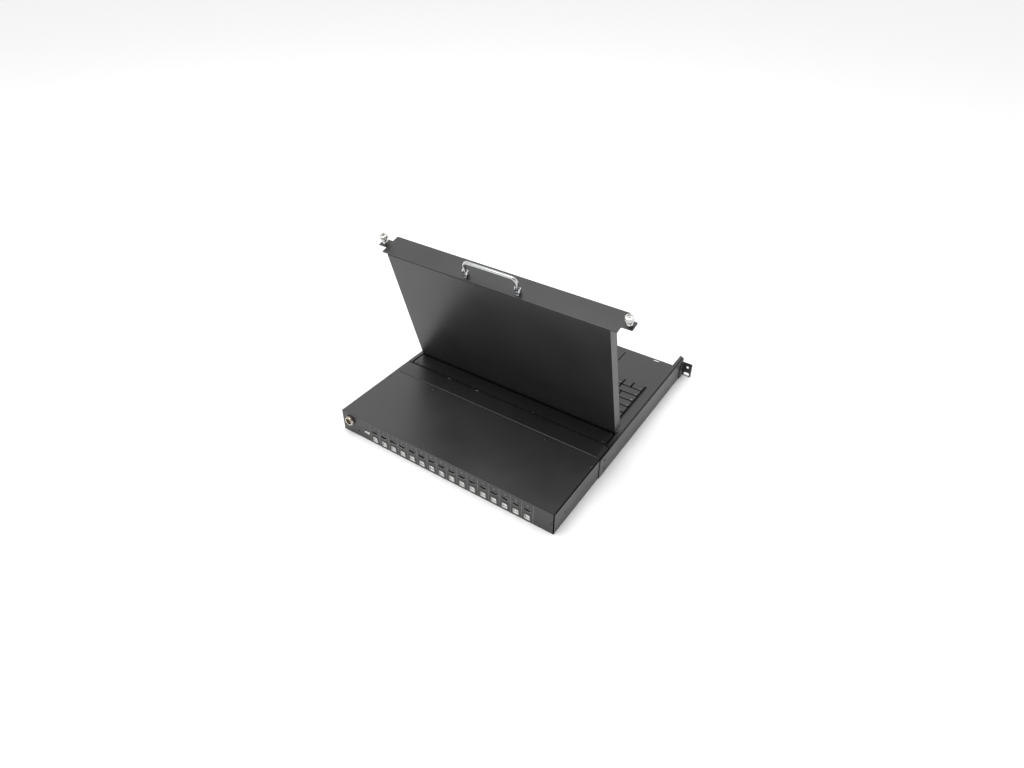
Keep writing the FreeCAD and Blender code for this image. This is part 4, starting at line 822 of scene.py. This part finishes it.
# rear panel: one port of each kind repeated along the panel, then contacts, lines and numbers
portLook = {
    "count": 16, "firstX": 144.7, "pitch": 21.2, "depth": 12.0, "proud": 0.6, "wall": 0.5, "setback": 1.0,
    "hdmi": {"z": 26.0, "width": 15.2, "height": 6.0, "cut": (2.2, 2.5), "tongue": (10.4, 1.5), "rise": 0.5,
             "tabXs": (-3.4, 3.4), "tab": ((-0.9, -7, 2.1), (0.9, -1.2, 2.75)),
             "edge": 0.14, "tongueEdge": 0.2},
    "usb": {"z": 9.7, "width": 12.0, "height": 11.0, "cut": 1.8, "mouth": (8.4, 7.7, 1.5), "floor": 2.5,
            "post": (5.6, 3.0), "rise": 0.4, "insertBack": 0.3, "edge": 0.15, "insertEdge": 0.16},
    "flatTongue": ((158.2, -10, 15.0), (169.8, -0.3, 18.2)), "flatTongueEdge": 0.3,
    "line": (0.3, 0.06, 38.0), "lineMiddle": 21.0, "ink": 0.03, "numberZ": 34.6, "numberSize": 4.2,
}


def prism(outline, front, rear):
    # outline is (x, z); front and rear are y; a port's are about its middle on the panel's face; mm
    return skinned([[(x, y, z) for x, z in outline] for y in (front, rear)])


def rectangle(width, height, rise=0.0):
    w, h = width / 2, height / 2
    return [(-w, rise - h), (w, rise - h), (w, rise + h), (-w, rise + h)]


def hdmiMouth(shrink):
    look = portLook["hdmi"]
    w, h, (cutX, cutZ) = look["width"] / 2 - shrink, look["height"] / 2 - shrink, look["cut"]
    return [(-w, h), (w, h), (w, -h + cutZ), (w - cutX, -h), (-w + cutX, -h), (-w, -h + cutZ)]


def cutCorners(w, h, cut):
    # half sizes; the upper corners are cut off
    return [(-w, -h), (w, -h), (w, h - cut), (w - cut, h), (-w + cut, h), (-w, h - cut)]


def usbMouth(width, height, cut):
    return cutCorners(width / 2, height / 2, cut)


def hdmiShell():
    look, deep, proud, wall = portLook["hdmi"], -portLook["depth"], portLook["proud"], portLook["wall"]
    shell = carved(prism(hdmiMouth(0), deep, proud), prism(hdmiMouth(wall), deep + wall, proud + 1))
    for x in look["tabXs"]:   # sprung tabs pressed into the mouth's roof
        tab = boxShape(*[Vector((x, 0, 0)) + Vector(corner) for corner in look["tab"]])
        shell = carved(shell, tab, "UNION")
    return bevelled(shell, look["edge"])


def hdmiTongue():
    look = portLook["hdmi"]
    deep, front = -portLook["depth"] + portLook["wall"], -portLook["setback"]
    return bevelled(prism(rectangle(*look["tongue"], look["rise"]), deep, front), look["tongueEdge"])


def usbInside():
    look, wall = portLook["usb"], portLook["wall"]
    return rectangle(look["width"] - 2 * wall - look["cut"], look["height"] - 2 * wall)


def usbShell():
    look, deep, proud = portLook["usb"], -portLook["depth"], portLook["proud"]
    outside = usbMouth(look["width"], look["height"], look["cut"])
    shell = carved(prism(outside, deep, proud), prism(usbInside(), deep - 1, proud + 1))
    return bevelled(shell, look["edge"])


def usbInsert():
    look, deep = portLook["usb"], -portLook["depth"]
    front = portLook["proud"] - look["insertBack"]
    body = carved(prism(usbInside(), deep, front),
                  prism(usbMouth(*look["mouth"]), deep + look["floor"], front + 1))
    post = prism(rectangle(*look["post"], look["rise"]), deep + look["floor"] - 0.5, -portLook["setback"])
    return bevelled(carved(body, post, "UNION"), look["insertEdge"])


def portTree():
    tree, given = newTree("portsInLine", [("Port", "Object"), ("Ports", "Int"), ("First Port", "Vector"),
                                          ("Port Pitch", "Vector"), ("Finish", "Material")])
    line = nodeIn(tree, "GeometryNodeMeshLine", inputs={
        "Count": given["Ports"], "Start Location": given["First Port"], "Offset": given["Port Pitch"]})
    port = nodeIn(tree, "GeometryNodeObjectInfo", inputs={"Object": given["Port"]})
    many = nodeIn(tree, "GeometryNodeInstanceOnPoints",
                  inputs={"Points": line.outputs[0], "Instance": port.outputs["Geometry"]})
    return endTree(tree, many.outputs[0], given["Finish"])


portRow = portTree()
portKinds = {   # name: (one port, its height above the underside, slot, replaced node)
    "hdmiShells": (hdmiShell(), portLook["hdmi"]["z"], "port_metal", "hdmi_shells"),
    "hdmiTongues": (hdmiTongue(), portLook["hdmi"]["z"], "port_black", "hdmi_tongues"),
    "usbShells": (usbShell(), portLook["usb"]["z"], "port_metal", "usb_b_shells"),
    "usbInserts": (usbInsert(), portLook["usb"]["z"], "port_white", "usb_b_inserts"),
}
for name, (portMesh, height, slotName, node) in portKinds.items():
    onePort = placed("onePort", portMesh)
    mesh = grown(bpy.data.meshes.new("start"), portRow, {
        "Port": onePort, "Ports": portLook["count"],
        "First Port": Vector((portLook["firstX"], panelFace, height)) * mm,
        "Port Pitch": Vector((-portLook["pitch"], 0, 0)) * mm, "Finish": finishes[slotName]})
    bpy.data.objects.remove(onePort)
    fitted(name, mesh, "frame", slotName, node)
print("ports set:", portLook["count"])
tongue = boxShape(*[Vector((0, panelFace, 0)) + Vector(corner) for corner in portLook["flatTongue"]])
tongue = coated(bevelled(tongue, portLook["flatTongueEdge"]), "port_white")
fitted("singleUsbTongue", tongue, "frame", "port_white", "usb_a_tongue")
portXs = [portLook["firstX"] - portLook["pitch"] * i for i in range(portLook["count"])]


def contactTree():
    tree, given = newTree("contactCombs", [
        ("Contacts", "Int"), ("Contact Pitch", "Vector"), ("First", "Vector"), ("Contact Size", "Vector"),
        ("Finish", "Material")])
    line = nodeIn(tree, "GeometryNodeMeshLine", inputs={
        "Count": given["Contacts"], "Start Location": given["First"], "Offset": given["Contact Pitch"]})
    strip = nodeIn(tree, "GeometryNodeMeshCube", inputs={"Size": given["Contact Size"]})
    comb = nodeIn(tree, "GeometryNodeInstanceOnPoints",
                  inputs={"Points": line.outputs[0], "Instance": strip.outputs[0]})
    many = nodeIn(tree, "GeometryNodeInstanceOnPoints",
                  inputs={"Points": given["Geometry"], "Instance": comb.outputs[0]})
    return endTree(tree, many.outputs[0], given["Finish"])


contacts = contactTree()
tongueZ, postZ = (portLook[kind]["z"] + portLook[kind]["rise"] for kind in ("hdmi", "usb"))
combs = {   # count, pitch, size, depth of the middle, xs, heights, all in mm
    "hdmiContacts": (10, 0.95, (0.42, 6.0, 0.07), 4.4, portXs, (tongueZ - 0.77, tongueZ + 0.77)),
    "usbContacts": (2, 2.6, (1.1, 6.0, 0.12), 4.4, portXs, (postZ - 1.53, postZ + 1.53)),
    "singleUsbContacts": (4, 2.4, (1.1, 6.5, 0.12), 4.7, (164.0,), (18.24,)),
}
for name, (count, pitch, size, depth, xs, heights) in combs.items():
    middles = [Vector((x, panelFace - depth, z)) * mm for x in xs for z in heights]
    mesh = grown(pointCloud(middles), contacts, {
        "Contacts": count, "Contact Pitch": Vector((pitch, 0, 0)) * mm,
        "First": Vector((-pitch * (count - 1) / 2, 0, 0)) * mm, "Contact Size": Vector(size) * mm,
        "Finish": finishes["gold"]})
    fitted(name, mesh, "frame", "port_metal")
lineXs = [portLook["firstX"] + portLook["pitch"] * (0.5 - i) for i in range(portLook["count"] + 1)]
lineMiddles = [Vector((x, panelFace, portLook["lineMiddle"])) * mm for x in lineXs]
lineMesh = grown(pointCloud(lineMiddles), contacts, {
    "Contacts": 1, "Contact Pitch": Vector((0, 0, 0)), "First": Vector((0, 0, 0)),
    "Contact Size": Vector(portLook["line"]) * mm, "Finish": finishes["print"]})
fitted("panelLines", lineMesh, "frame", "black_coat")
numbers = [moved(lettering(str(i + 1), portLook["numberSize"], portLook["ink"], "CENTER", 3),
                 rearPlace(x, portLook["numberZ"])) for i, x in enumerate(portXs)]
fitted("panelNumbers", coated(joined(numbers), "print"), "frame", "black_coat")
print("rear panel dressed")

# sprung zinc clips that hold the closed drawer against the module
clipLook = {"xs": (120, 54), "z": 38.4, "outline": (4.5, 4.5, 1.4), "ys": (314.2, 315.8), "edge": 0.3}
clips = []
for clipX in clipLook["xs"]:
    outline = [(clipX + x, clipLook["z"] + z) for x, z in cutCorners(*clipLook["outline"])]
    clips.append(moved(bevelled(prism(outline, *clipLook["ys"]), clipLook["edge"]), onRack))
fitted("seamClips", coated(joined(clips), "slide_steel"), "frame", "slide_steel")

# whatever CAD node still shows takes its slot's finish
for node, thing in nodes.items():
    if not thing.hide_render:
        coated(thing.data, slotOf[node])
        print("kept as built:", node)

# floor, light and camera
studio = {"floor": 12.0, "floorTone": 0.93, "sky": 1.15,
          "key": (0.35, 0.45, 2.6), "keySize": 1.8, "keyPower": 40.0,
          "drape": Vector((-0.42, 0.65, 0.63)), "drapeEdge": (0.72, 0.94), "drapeTone": 0.12}
floorShape = bmesh.new()
bmesh.ops.create_grid(floorShape, x_segments=1, y_segments=1, size=studio["floor"])
floor = placed("floor", fromBmesh(floorShape))
floorFinish = bpy.data.materials.new("floorPaper")
floorFinish.use_nodes = True
paper = floorFinish.node_tree.nodes["Principled BSDF"]
paper.inputs["Base Color"].default_value = (studio["floorTone"],) * 3 + (1,)
paper.inputs["Roughness"].default_value = 0.9
paper.inputs["Specular IOR Level"].default_value = 0.1
floor.data.materials.append(floorFinish)

sky = bpy.data.worlds.new("softSky")
sky.use_nodes = True
skyTree = sky.node_tree
around = nodeIn(skyTree, "ShaderNodeTexCoord").outputs["Generated"]
towardsDrape = nodeIn(skyTree, "ShaderNodeVectorMath", {"operation": "DOT_PRODUCT"},
                      {0: around, 1: studio["drape"]})
drape = nodeIn(skyTree, "ShaderNodeMapRange", inputs={
    "Value": towardsDrape.outputs["Value"], "To Min": 1.0, "To Max": studio["drapeTone"],
    "From Min": studio["drapeEdge"][0], "From Max": studio["drapeEdge"][1]})
backdrop = skyTree.nodes["Background"]
skyTree.links.new(drape.outputs[0], backdrop.inputs["Color"])
backdrop.inputs["Strength"].default_value = studio["sky"]
bpy.context.scene.world = sky
keyLight = bpy.data.lights.new("keyLight", "AREA")
keyLight.energy, keyLight.size = studio["keyPower"], studio["keySize"]
keyBox = placed("keyLight", keyLight)
keyBox.location = studio["key"]
keyBox.rotation_euler = (-Vector(studio["key"])).to_track_quat("-Z", "Y").to_euler()

viewPoint = {"eye": (-0.5499, 0.8573, 0.8246), "target": (0, 0.0305, 0.0593), "roll": 0.35, "lens": 24.018,
             "sensor": 36, "clip": (0.01, 100)}
lens = bpy.data.cameras.new("camera")
lens.lens, lens.sensor_width = viewPoint["lens"], viewPoint["sensor"]
lens.clip_start, lens.clip_end = viewPoint["clip"]
camera = placed("camera", lens)
gaze = Vector(viewPoint["target"]) - Vector(viewPoint["eye"])
aimed = gaze.to_track_quat("-Z", "Y").to_matrix().to_4x4()
aimed = aimed @ Matrix.Rotation(math.radians(viewPoint["roll"]), 4, "Z")
camera.matrix_world = Matrix.Translation(viewPoint["eye"]) @ aimed
bpy.context.scene.camera = camera
bpy.context.scene.view_settings.view_transform = "Standard"
print("studio set")
